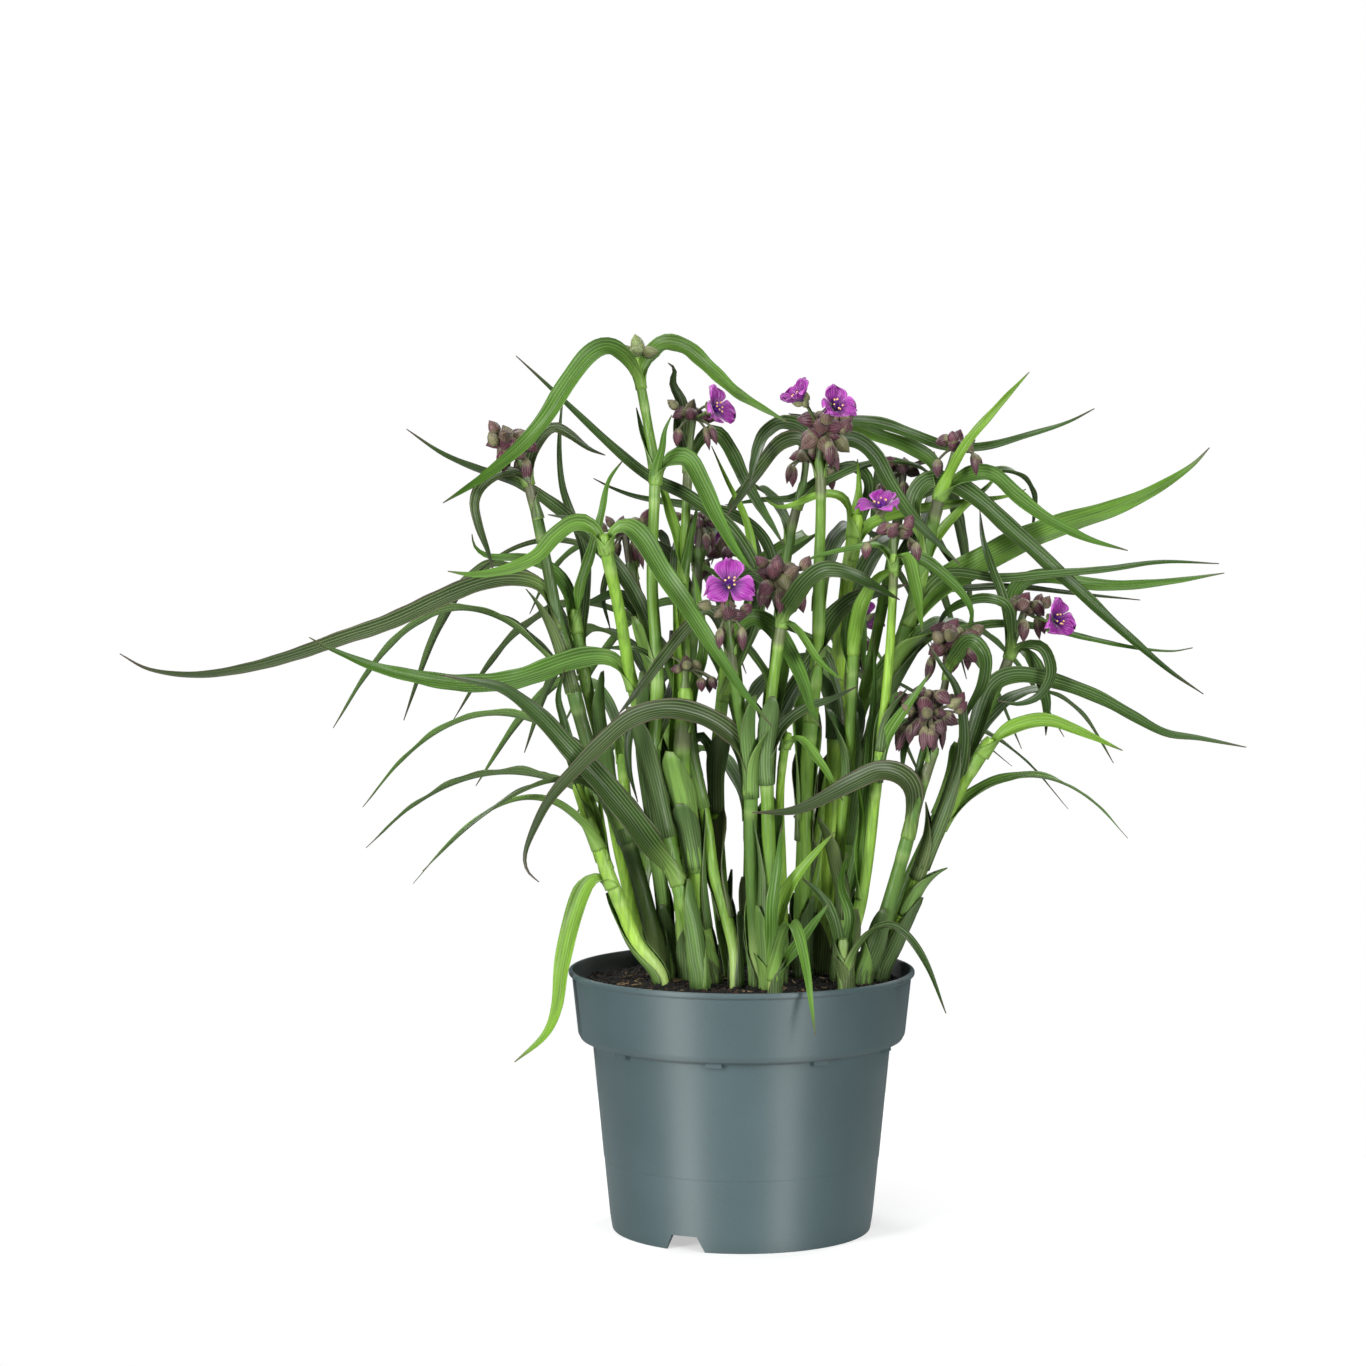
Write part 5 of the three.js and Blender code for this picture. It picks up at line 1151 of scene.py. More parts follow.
def seated_tree():
    """Copies of one shape on points, each along its point's aim and at its point's extent."""
    tree, given = new_tree("seated_copies", [("Shape", "Object", None), ("Material", "Material", None)])
    shape = add(tree, "GeometryNodeObjectInfo", {"Object": given["Shape"]}).outputs["Geometry"]
    aim = add(tree, "GeometryNodeInputNamedAttribute", {"Name": "aim"}, data_type="FLOAT_VECTOR")
    extent = add(tree, "GeometryNodeInputNamedAttribute", {"Name": "extent"}, data_type="FLOAT_VECTOR")
    turned = add(tree, "FunctionNodeAlignRotationToVector", {"Vector": aim}, axis="Z")
    points = add(tree, "GeometryNodeMeshToPoints", {"Mesh": given["Geometry"]})
    seat = {"Points": points, "Instance": shape, "Rotation": turned, "Scale": extent}
    copies = add(tree, "GeometryNodeInstanceOnPoints", seat)
    return end_tree(tree, copies, given["Material"])


def strewn_tree():
    """Small bodies strewn over a surface at random sizes and turns, each with a tint of its own."""
    sizes = [("Shape", "Object", None), ("Density", "Float", 1000.0), ("Smallest", "Float", 0.5),
             ("Largest", "Float", 1.5), ("Tilt", "Float", 3.1), ("Seed", "Int", 1),
             ("Material", "Material", None)]
    tree, given = new_tree("strewn_bits", sizes)
    seed = given["Seed"]
    shape = add(tree, "GeometryNodeObjectInfo", {"Object": given["Shape"]}).outputs["Geometry"]
    field = {"Mesh": given["Geometry"], "Density": given["Density"], "Seed": seed}
    spread = add(tree, "GeometryNodeDistributePointsOnFaces", field)
    extent = add(tree, "FunctionNodeRandomValue", {2: given["Smallest"], 3: given["Largest"], 8: seed})
    least = add(tree, "ShaderNodeMath", {0: given["Tilt"], 1: -1.0}, operation="MULTIPLY")
    low = add(tree, "ShaderNodeCombineXYZ", {0: least, 1: least, 2: -3.1})
    high = add(tree, "ShaderNodeCombineXYZ", {0: given["Tilt"], 1: given["Tilt"], 2: 3.1})
    lean = add(tree, "FunctionNodeRandomValue", {0: low, 1: high, 8: seed}, data_type="FLOAT_VECTOR")
    tipped = add(tree, "FunctionNodeEulerToRotation", {0: lean})
    both = {0: spread.outputs["Rotation"], 1: tipped}
    turned = add(tree, "FunctionNodeRotateRotation", both, rotation_space="LOCAL")
    seat = {"Points": spread, "Instance": shape, "Rotation": turned, "Scale": extent}
    copies = add(tree, "GeometryNodeInstanceOnPoints", seat)
    other = add(tree, "ShaderNodeMath", {0: seed, 1: 100.0}, operation="ADD")
    tint = add(tree, "FunctionNodeRandomValue", {2: 0.0, 3: 1.0, 8: other})
    named = {"Geometry": copies, "Name": "crumb_tint", "Value": tint}
    marked = add(tree, "GeometryNodeStoreNamedAttribute", named, data_type="FLOAT", domain="INSTANCE")
    return end_tree(tree, marked, given["Material"])


SWEPT = swept_tree()
SEATED = seated_tree()
STREWN = strewn_tree()


def swept_lines(name, lines, material, sides):
    """Tubes along lines; a line is its points, its girths, its marks and its tint."""
    points, girths, marks, tints, edges = [], [], [], [], []
    for places, girth, mark, tint in lines:
        start = len(points)
        points += [*places]
        girths += [*(np.broadcast_to(girth, len(places)) * MM)]
        marks += [*np.broadcast_to(mark, (len(places), 3))]
        tints += [tint] * len(places)
        edges += [(start + i, start + i + 1) for i in range(len(places) - 1)]
    piece = new_piece(name, points, edges=edges, girth=girths, stem_place=marks, stem_tint=tints)
    return grow(piece, SWEPT, Sides=sides, Material=material)


# Stems and leaves

# Stems longer than this keep old sheaths higher up as well.
TALL_STEM = 160
# Tones run from yellow green at 0 to dark or faded.
LEAF_TONES = ["#6b932b", "#476d22", "#2c4519", "#303d20"]
STEM_TONES = ["#a2cc4a", "#80a83a", "#587b30", "#44582c"]
STATION = 3
JOINT_SWELL = 1.1
JOINT_REACH = 2.2
JOINT_PALE = 0.4
PALE_FOOT = (18, 60)
ROUNDED_TIP = 2.5
TIP_NARROWING = 0.3
OLD_SHEATHS = (1, 2, 2, 3)
LOW_SHEATH = 62
LOW_LEAN = 2.5
HIGH_SHEATH = 100
HIGH_LEAN = (5, 16)
HIGH_FROM = 45
OLD_SHEATH_TONES = ["#769f3e", "#486d2c", "#2b4520", "#25381e", "#57542f"]


def stem_profile(axis, roots, dusk):
    """A stem's distances, girths and marks: swollen at its joints, sheathed above them, pale at its foot."""
    total = axis.line.total
    distance = np.linspace(0, total, max(8, math.ceil(total / STATION)) + 1)
    swell = np.ones_like(distance)
    pale = np.zeros_like(distance)
    sheath = np.zeros_like(distance)
    dusky = np.zeros_like(distance)
    for root in sorted(roots):
        foot = root - SHEATH_LENGTH
        if axis.twig or root > LOWEST_ROOT + SHEATH_LENGTH:
            joint = np.exp(-(((distance - foot) / JOINT_REACH) ** 2))
            cover = smoothstep(foot - 1, foot + 2, distance) * (1 - smoothstep(root - 6, root + 4, distance))
            swell = np.maximum(swell, 1 + (JOINT_SWELL - 1) * joint)
            swell = np.maximum(swell, 1 + (SHEATH_SWELL - 1) * cover)
            pale = np.maximum(pale, joint * JOINT_PALE)
            sheath = np.maximum(sheath, cover)
            dusky = cover
    if not axis.twig:
        pale = np.maximum(pale, 1 - smoothstep(*PALE_FOOT, distance))
    swell *= 1 - TIP_NARROWING * smoothstep(total - ROUNDED_TIP, total, distance)
    marks = np.stack([pale, sheath, dusky * dusk], -1)
    return distance, axis.radius(distance) * swell, marks


ACROSS = np.array([-1, -0.84, -0.56, -0.27, 0, 0.27, 0.56, 0.84, 1])
BLADE_STEP = 3.4
BLADE_THICK = 0.34
BLADE_LIFT = 0.1
OLD_SHEATH_THICK = 0.3
MIDRIB = 0.5
CHANNEL_FOOT_DEG = 36
CHANNEL_TIP_DEG = 14
WAVE_PITCH = (17, 34)
WAVE_DEPTH = (0.05, 0.12)
TONE_STRAY = (-0.3, 0.35)
TIP_SHORT = 0.8
CLASP_RUN = 20
CLASP_FLARE = 0.28
CLASP_BELOW = 5
CLASP_HALF_TURN = math.radians(120)
SLOW_PITCH = 43
# A full turn, near enough for waves.
FULL_TURN = 6.28


def skinned(middle, above, below):
    """Rings of a thin sheet's skin: its upper points, then its lower ones back again."""
    normal = unit(np.cross(np.gradient(middle, axis=0), np.gradient(middle, axis=1)))
    return np.concatenate([middle + normal * above, (middle - normal * below)[:, ::-1]], axis=1)


def blade_marks(distance, shares, half, age, tint):
    """What the leaf's finish reads: across and along in millimetres, upper or lower, shares, age, tint."""
    count = len(distance)
    edge = np.tile(np.concatenate([ACROSS, ACROSS[::-1]]), (count, 1))
    under = np.tile(np.repeat([0.0, 1.0], len(ACROSS)), (count, 1))
    long = np.broadcast_to(distance[:, None], edge.shape)
    part = np.broadcast_to(shares[:, None], edge.shape)
    place = np.stack([edge * half, long, under], -1).reshape(-1, 3)
    kind = np.stack([edge, part, np.full(edge.shape, age)], -1).reshape(-1, 3)
    return place, kind, np.tile(tint, (edge.size, 1))


def blade_mesh(leaf, draw):
    """A blade: channelled, its edges slightly waved, its foot opening out of a sheath round the stem."""
    line = leaf.line
    count = max(14, math.ceil(line.total / BLADE_STEP))
    shares = (np.arange(count + 1) / count) ** 1.08
    distance = (line.total - TIP_SHORT) * shares
    wide, face = frames(line.along(distance), leaf.across, leaf.roll, leaf.side)
    half = leaf.half_width(shares)[:, None] * 1.02
    slope = CHANNEL_FOOT_DEG - (CHANNEL_FOOT_DEG - CHANNEL_TIP_DEG) * shares
    keel = half * np.tan(np.radians(slope))[:, None] * 0.5
    rise = keel * (2 * np.abs(ACROSS) ** 1.4 - 1)
    phase = draw.uniform(0, FULL_TURN)
    pitch = draw.uniform(*WAVE_PITCH)
    wave = np.sin(distance * FULL_TURN / pitch + phase)[:, None] * ACROSS
    wave = wave + np.sin(distance * FULL_TURN / SLOW_PITCH + phase * 2)[:, None]
    rise = rise + draw.uniform(*WAVE_DEPTH) * half * wave * np.abs(ACROSS)
    middle = line.at(distance)[:, None, :] + wide[:, None, :] * (half * ACROSS)[..., None]
    middle = middle + face[:, None, :] * rise[..., None]

    axis = leaf.root.axis
    up = axis.line.along(np.array([leaf.root.distance]))[0]
    out = line.at(CLASP_RUN) - leaf.root.at
    out = unit(out - up * (out @ up))
    aside = np.cross(up, out)
    if aside @ wide[0] < 0:
        aside = -aside
    opening = smoothstep(0, CLASP_RUN, distance)[:, None]
    climb = np.minimum(distance, CLASP_RUN) * 0.7 - CLASP_BELOW
    flare = 1 + CLASP_FLARE * smoothstep(0, CLASP_RUN * 0.7, distance)[:, None, None]
    girth = (axis.radius(leaf.root.distance) * SHEATH_SWELL + 0.35) * flare
    turn = ACROSS * CLASP_HALF_TURN * (1 - 0.5 * opening)
    hug = leaf.root.at + up * climb[:, None, None]
    hug = hug + (out * np.cos(turn)[..., None] + aside * np.sin(turn)[..., None]) * girth
    middle = hug + (middle - hug) * opening[..., None]

    thick = BLADE_THICK * (1 - 0.45 * shares)[:, None] * (1 - 0.5 * ACROSS**2)
    thick = thick + MIDRIB * (1 - shares[:, None]) * np.exp(-((ACROSS / 0.2) ** 2))
    tone = leaf.tone + draw.uniform(*TONE_STRAY)
    age = smoothstep(1.2, 3, tone)
    marks = blade_marks(distance, shares, half, age, between(LEAF_TONES, tone))
    return skinned(middle, BLADE_LIFT, thick[..., None]), marks


def spent_sheath(axis, draw, start, longest, lean):
    """An old sheath round a stem: a pointed tube left when its blade was shed, its tip leaning off."""
    shares = np.linspace(0, 1, 13)
    long = min(draw.uniform(0.33, 1) * longest, axis.line.total - start - 8)
    distance = start + long * shares
    up = axis.line.along(distance)
    out = level_way(draw.uniform(0, math.tau))
    out = unit(out - up * (up @ out)[:, None])
    aside = np.cross(up, out)
    turn = ACROSS * np.radians(130 * (1 - shares**1.6) + 8)[:, None]
    girth = axis.radius(distance)[:, None] * 1.08 + 0.5 + lean * (shares**3)[:, None]
    middle = axis.line.at(distance)[:, None, :]
    ring = out[:, None, :] * np.cos(turn)[..., None] + aside[:, None, :] * np.sin(turn)[..., None]
    middle = middle + ring * girth[..., None]
    half = girth * np.abs(turn[:, -1:])
    tint = between(OLD_SHEATH_TONES, draw.uniform(0, 3.6))
    marks = blade_marks(distance, shares * 0.8 + 0.14, half, 0.35, tint)
    return skinned(middle, BLADE_LIFT, OLD_SHEATH_THICK), marks


def old_sheaths(axis, draw):
    """Old sheaths at a stem's foot and, where the stem is tall, higher up."""
    foot = STEM_STRAIGHT - STEM_FOOT - 5
    skins = [spent_sheath(axis, draw, foot, LOW_SHEATH, LOW_LEAN) for _ in range(draw.choice(OLD_SHEATHS))]
    if axis.line.total > TALL_STEM:
        for _ in range(draw.choice(OLD_SHEATHS)):
            start = draw.uniform(HIGH_FROM, axis.line.total * 0.6)
            skins.append(spent_sheath(axis, draw, start, HIGH_SHEATH, draw.uniform(*HIGH_LEAN)))
    return skins


def stem_lines(shoot, draw):
    """What the tubes of a shoot's stem and twigs follow; a stem of dark leaves is darker."""
    lines = []
    mean = sum(leaf.tone for leaf in shoot.leaves) / len(shoot.leaves)
    tint = between(STEM_TONES, mean * 0.9 + draw.uniform(-0.7, 0.9))
    for axis in shoot.axes:
        roots = [leaf.root.distance for leaf in shoot.leaves if leaf.root.axis is axis]
        dusk = max([0.55 * (head.tone > 0) for head in heads if head.axis is axis], default=0)
        distance, girth, marks = stem_profile(axis, roots, dusk)
        lines.append((axis.line.at(distance), girth, marks, tint))
    return lines


def leafy_shoot(shoot):
    """One shoot: its stem and twigs, all of its leaves, and its old sheaths."""
    draw = random.Random(shoot.owner)
    stem = swept_lines(shoot.name + "_stem", stem_lines(shoot, draw), STEM, 12)
    skins = [blade_mesh(leaf, draw) for leaf in shoot.leaves]
    skins += old_sheaths(shoot.axes[0], draw)
    faces = []
    start = 0
    for rings, _ in skins:
        faces += loft_faces(rings.shape[0], rings.shape[1], start)
        start += rings.shape[0] * rings.shape[1]
    points = np.vstack([rings.reshape(-1, 3) for rings, _ in skins])
    place, kind, tints = (np.vstack([marks[k] for _, marks in skins]) for k in range(3))
    blades = new_piece(shoot.name + "_blades", points, faces=faces, material=LEAF, blade_place=place,
                       blade_kind=kind, blade_tint=tints)
    face_outward(blades)
    hand_over(shoot.name + "_leafy", [stem, blades], shoot.name)


# Bud heads

BUD_SIDES = 9
BUD_HEIGHTS = [0, 0.07, 0.2, 0.38, 0.56, 0.74, 0.9, 1]
BUD_GIRTHS = [0.28, 0.6, 0.9, 1, 0.92, 0.66, 0.28, 0.04]


def bud_shape():
    """One bud, 1 unit long and 1 unit in radius: three sepals lapped to a blunt point."""
    points, marks = [], []
    for height, girth in zip(BUD_HEIGHTS, BUD_GIRTHS):
        for j in range(BUD_SIDES):
            turn = math.tau * j / BUD_SIDES
            ridge = math.cos(3 * turn)
            reach = girth * (1 + 0.07 * ridge)
            points.append((reach * math.cos(turn) / MM, reach * math.sin(turn) / MM, height / MM))
            marks.append((j / BUD_SIDES, height, 0.5 - 0.5 * ridge))
    piece = new_piece("bud_shape", points, faces=loft_faces(len(BUD_HEIGHTS), BUD_SIDES), bud_place=marks)
    face_outward(piece)
    return piece


def hair_shape():
    """One hair, 1 unit long: a three-sided needle."""
    points = [(0.05 * math.cos(t) / MM, 0.05 * math.sin(t) / MM, 0) for t in (0, 2.1, 4.2)]
    points.append((0.2 / MM, 0, 1 / MM))
    return new_piece("hair_shape", points, faces=[(2, 1, 0), (0, 1, 3), (1, 2, 3), (2, 0, 3)])


# A head's buds point at the corners of a solid body: twelve for a full head, six for a lean one.
GOLDEN = (1 + math.sqrt(5)) / 2
FULL_CORNERS = [(-GOLDEN, 0, 1), (0, 1, GOLDEN), (-1, GOLDEN, 0), (1, GOLDEN, 0), (0, 1, -GOLDEN),
                (-GOLDEN, 0, -1), (GOLDEN, 0, 1), (0, -1, GOLDEN), (-1, -GOLDEN, 0), (0, -1, -GOLDEN),
                (GOLDEN, 0, -1), (1, -GOLDEN, 0)]
LEAN_CORNERS = [(0, 1, 0), (0, 0, 1), (1, 0, 0), (0, -1, 0), (0, 0, -1), (-1, 0, 0)]
BUD_TONES = ["#76904e", "#4e1c2d", "#260d15"]
FILL_SHARE = 0.72
FULL_OUTLYING = 9
LEAN_OUTLYING = 5
CROWDED_STALK = 0.85
OUTLYING_STALK = 0.75
FLOWER_STALK = 0.95
CUP_DEPTH = 4.6
# Hairs to a square metre, and their lengths in metres.
HAIRS = 4e5
HAIR_LENGTHS = (0.0005, 0.0011)


def turned_onto(vectors, start, goal):
    """Turns vectors by the shortest turn that carries start onto goal."""
    pivot = np.cross(start, goal)
    cosine = start @ goal
    lift = np.outer(vectors @ pivot, pivot) / (1 + cosine)
    return vectors * cosine + np.cross(pivot, vectors) + lift


def clear_length(head, out, long):
    """How long a bud can be before it meets what has grown already."""
    for share in (1, 0.8, 0.6, 0.4):
        reach = head.core + long * share
        if taken(head.centre + np.outer([0.5, 0.75, 1], out * reach), head.owner) == 0:
            return long * share
    return long * 0.2


def head_buds(head):
    """Each bud of a head: its direction and how far its tip reaches from the head's middle."""
    corners = unit(np.array(FULL_CORNERS if head.full else LEAN_CORNERS, float))
    upward = unit(head.centre - head.tip + UP * 8)
    draw = seeded(head.owner)
    buds = []
    for out in turned_onto(corners, corners[0], upward):
        if out @ upward >= -0.9:
            long = clear_length(head, out, head.long * (0.8 + 0.4 * next(draw)))
            buds.append((out, head.core + long))
    return buds


def pedicel(start, end):
    """A flower stalk's line, which rises a little before it bends down to its bud."""
    return Line([start, (start + end) / 2 + UP * 1.5, end]).fine[::2]


BUD_SHAPE = bud_shape()
HAIR_SHAPE = hair_shape()


def fill_buds(head, buds, draw):
    """Smaller buds between neighbours, about every second time."""
    fill = []
    for i in range(len(buds)):
        for j in range(i):
            middle = buds[i][0] + buds[j][0]
            if 1.3 < np.linalg.norm(middle) < 1.95 and draw.random() < 0.45:
                fill.append((unit(middle), head.core + head.long * draw.uniform(0.2, 0.5)))
    return fill


def crowded_buds(head, draw):
    """The buds round a head's middle: each one's seat, aim, radii and length, tone and stalk."""
    buds = head_buds(head)
    fill = fill_buds(head, buds, draw)
    rows = []
    for place, (out, reach) in enumerate(buds + fill):
        share = 1 if place < len(buds) else FILL_SHARE
        size = min(head.long * 1.25 * share, reach * 0.95) * draw.uniform(0.9, 1.1)
        fat = min(head.fat * 1.42 * share, size * 0.4)
        nod = [draw.uniform(-0.2, 0.2), draw.uniform(-0.2, 0.2),
               draw.uniform(-0.8, 0) * (0.3 + 0.7 * head.tone)]
        aim = unit(out + nod)
        seat = head.centre + out * (reach - 1) - aim * size
        tone = head.tone + draw.uniform(-0.6, 0.7)
        rows.append((seat, aim, (fat, fat, size), tone, CROWDED_STALK, 0.5 * head.tone))
    return rows


def outlying_buds(head, draw):
    """Buds on longer stalks, described in the same way: every other one is spent and hangs."""
    rows = []
    for place in range(round(head.tone * (FULL_OUTLYING if head.full else LEAN_OUTLYING))):
        spent = place % 2 == 0
        out = level_way(draw.uniform(0, math.tau))
        lift = draw.uniform(-6, -2) if spent else draw.uniform(1, 8)
        seat = head.centre + out * draw.uniform(7, 15) + UP * lift
        aim = unit(out * draw.uniform(0, 0.4) - UP) if spent else unit(out + UP * draw.uniform(0, 2))
        long = head.long * (draw.uniform(1.2, 1.7) if spent else 1)
        girths = (head.fat * 1.15, head.fat * (0.8 if spent else 1.15), long)
        tone = draw.uniform(1.2, 2) if spent else draw.uniform(0.4, 1.2)
        rows.append((seat, aim, girths, tone, OUTLYING_STALK, 0.6))
    return rows


def flower_stalks(head, green):
    """The stalks that bend from a head to the cups of its flowers."""
    stalks = []
    for flower in head.flowers:
        end = flower.centre - flower.facing * CUP_DEPTH
        middle = (head.centre + end) / 2 - flower.facing * 2
        stalks.append((Line([head.centre, middle, end]).fine, FLOWER_STALK, (0, 0, 0.3), green))
    return stalks


def bud_head(head):
    """One head: a stalk for each bud and flower, the buds, and down on them."""
    draw = random.Random(head.owner)
    rows = crowded_buds(head, draw) + outlying_buds(head, draw)
    foot = head.tip - head.axis.line.along(np.array([head.axis.line.total]))[0] * 2
    green = between(STEM_TONES, 1.2 + 0.8 * head.tone)
    core = [foot, (head.tip + head.centre) / 2, head.centre]
    stalks = [(core, [head.axis.radii[1] * 0.8, 1.9, 2.2], (0, 0, 0.3 * head.tone), green)]
    for seat, aim, _, _, girth, dusk in rows:
        stalks.append((pedicel(head.centre, seat + aim * 0.4), girth, (0, 0, dusk), green))
    stalks += flower_stalks(head, green)
    stalk = swept_lines(head.name + "_stalks", stalks, STEM, 8)
    seats, aims, sizes, tones, _, _ = zip(*rows)
    tints = [between(BUD_TONES, tone) for tone in tones]
    points = new_piece(head.name + "_seats", seats, aim=aims, extent=np.array(sizes) * MM, bud_tint=tints)
    cluster = grow(points, SEATED, Shape=BUD_SHAPE, Material=SEPAL)
    down = in_scene(head.name + "_down", cluster.data.copy())
    grow(down, STREWN, Shape=HAIR_SHAPE, Density=HAIRS, Smallest=HAIR_LENGTHS[0], Largest=HAIR_LENGTHS[1],
         Tilt=0.6, Seed=head.owner, Material=DOWN)
    hand_over(head.name + "_cluster", [stalk, cluster, down], head.name)


# Flowers

PETAL_ROOT = 1.3
PETAL_HALF_THICK = 0.11
STAMENS = 6
THROAT_HAIRS = 30
PETAL_ACROSS = np.linspace(-1, 1, 15)
PETAL_ALONG = np.linspace(0, 1, 13)


def round_flower(flower, turn):
    """The direction at a turn about the way that a flower faces."""
    aside = unit(np.cross(flower.facing, UP))
    above = np.cross(aside, flower.facing)
    return aside * math.cos(turn) + above * math.sin(turn)


def petal_skin(flower, turn, draw):
    """A broad petal that leaves the cup, bends outwards and ruffles towards its rim."""
    facing = flower.facing
    around = round_flower(flower, turn)
    wide = np.cross(facing, around)
    share = PETAL_ALONG[:, None]
    width = np.minimum(1, 0.2 + 1.5 * share) * np.sqrt(np.clip(1 - share**6, 0.16, 1))
    half = flower.petal * 0.6 * width
    phase = draw.uniform(0, FULL_TURN)
    ruffle = np.sin(PETAL_ACROSS * 6 + phase + share * 2)
    ruffle += 0.7 * np.sin(PETAL_ACROSS * 11 + phase * 2 + share * 5)
    lift = half * 0.25 * PETAL_ACROSS**2 + ruffle * share**1.5 * 1.3
    droop = -0.25 * flower.petal * (share - 0.55).clip(0) ** 1.5
    lean = flower.opening * (0.7 + 0.3 * share)
    scallop = 1 + 0.05 * np.sin(PETAL_ACROSS * 9 + phase) - 0.12 * np.abs(PETAL_ACROSS) ** 2.5 * share
    run = flower.petal * share * scallop
    forward = run * np.cos(lean) + lift * np.sin(lean) + droop
    outward = PETAL_ROOT + run * np.sin(lean) - lift * np.cos(lean)
    skin = flower.centre + facing * forward[..., None] + around * outward[..., None]
    skin = skin + wide * (half * PETAL_ACROSS)[..., None]
    return skinned(skin, PETAL_HALF_THICK, PETAL_HALF_THICK)


def petals(flower, draw):
    """Three petals, the first at the top."""
    points, marks, faces = [], [], []
    sides = 2 * len(PETAL_ACROSS)
    edge = np.concatenate([PETAL_ACROSS, PETAL_ACROSS[::-1]]) * np.ones((len(PETAL_ALONG), 1))
    share = PETAL_ALONG[:, None] * np.ones(sides)
    for i in range(3):
        rings = petal_skin(flower, math.radians(90 + 120 * i), draw)
        points.append(rings.reshape(-1, 3))
        marks.append(np.stack([edge, share, np.maximum(np.abs(edge), share**2)], -1).reshape(-1, 3))
        faces += loft_faces(len(PETAL_ALONG), sides, i * len(PETAL_ALONG) * sides)
    piece = new_piece(flower.name + "_petals", np.vstack(points), faces=faces, material=PETAL,
                      petal_place=np.vstack(marks))
    face_outward(piece)
    return piece


def stamens(flower, draw):
    """Threads with pollen sacs, and shorter violet hairs between them."""
    facing = flower.facing
    threads, seats, aims = [], [], []
    for i in range(STAMENS + THROAT_HAIRS):
        ripe = i < STAMENS
        around = round_flower(flower, math.tau * i / STAMENS + draw.uniform(-0.5, 0.5))
        long = draw.uniform(4.8, 6) if ripe else draw.uniform(2, 4.2)
        spread = draw.uniform(1.8, 3) if ripe else draw.uniform(0.8, 2.8)
        tip = flower.centre + facing * long + around * spread
        middle = flower.centre + facing * long * 0.5 + around * spread * 0.75
        girth = [0.25, 0.2, 0.16] if ripe else [0.12, 0.1, 0.06]
        threads.append(([flower.centre + around * 0.6, middle, tip], girth, (0, 0, 0), (0, 0, 0)))
        if ripe:
            seats.append(tip - facing * 0.6)
            aims.append(unit(around + facing * 0.6))
    stalk = swept_lines(flower.name + "_threads", threads, THREAD, 5)
    extents = [(0.6 * MM, 0.6 * MM, 1.3 * MM)] * len(seats)
    points = new_piece(flower.name + "_sacs", seats, aim=aims, extent=extents)
    return [stalk, grow(points, SEATED, Shape=BUD_SHAPE, Material=POLLEN)]


def sepals(flower):
    """Three short green sepals behind the petals and the cup that they grow from."""
    facing = flower.facing
    seats, aims, extents = [flower.centre - facing * 4.7], [facing], [(2.2 * MM, 2.2 * MM, 6.5 * MM)]
    for i in range(3):
        around = round_flower(flower, math.radians(30 + 120 * i))
        seats.append(flower.centre - facing * 1.6 + around * 1.2)
        aims.append(unit(around * math.sin(flower.opening) + facing * math.cos(flower.opening)))
        extents.append((2 * MM, 1.2 * MM, flower.petal * 0.6 * MM))
    tints = [between(BUD_TONES, 0.3)] * len(seats)
    points = new_piece(flower.name + "_sepals", seats, aim=aims, extent=extents, bud_tint=tints)
    return grow(points, SEATED, Shape=BUD_SHAPE, Material=SEPAL)


def open_flower(flower):
    """One flower: ruffled petals over green sepals, with its stamens standing in the throat."""
    draw = random.Random(flower.name)
    parts = [petals(flower, draw), *stamens(flower, draw), sepals(flower)]
    hand_over(flower.name + "_bloom", parts, flower.name)


# Pot

POT_SIDES = 176
EDGE_FILLET = 0.6
MOULD_LINE_Z = 40
MOULD_LINE = 0.25
LUGS = 9
FIRST_LUG_DEG = -101
LUG_WIDTH = 10
LUG_HEIGHT = 1.5
LUG_DEPTH = 4


def rounded(corners, fillet):
    """An outline with each corner eased by a short curve."""
    corners = np.array(corners, float)
    eased = [corners[0]]
    for i in range(1, len(corners) - 1):
        before, here, after = corners[i - 1:i + 2]
        back = min(fillet, np.linalg.norm(before - here) * 0.45)
        on = min(fillet, np.linalg.norm(after - here) * 0.45)
        start = here + unit(before - here) * back
        end = here + unit(after - here) * on
        eased += [start, (start + 2 * here + end) / 4, end]
    return np.array([*eased, corners[-1]])


def turned_body(name, outline, sides, material):
    """A lathe body whose outline starts and ends on the axis."""
    points = [(0, 0, outline[0][1])]
    for r, z in outline[1:-1]:
        points += circle(r, z, sides).tolist()
    points.append((0, 0, outline[-1][1]))
    rings = len(outline) - 2
    faces = loft_faces(rings, sides, 1, capped=False)
    last = len(points) - 1
    for j in range(sides):
        onward = (j + 1) % sides
        faces.append((0, 1 + onward, 1 + j))
        faces.append((last, last - sides + j, last - sides + onward))
    piece = new_piece(name, points, faces=faces, material=material)
    face_outward(piece)
    return piece


def block(name, ring, low, high, turn_deg):
    """A prism over a ring of plan points, turned about the pot's axis."""
    turn = math.radians(turn_deg)
    points = []
    for z in (low, high):
        for x, y in ring:
            forward = x * math.cos(turn) - y * math.sin(turn)
            side = x * math.sin(turn) + y * math.cos(turn)
            points.append((forward, side, z))
    return new_piece(name, points, faces=loft_faces(2, len(ring)))


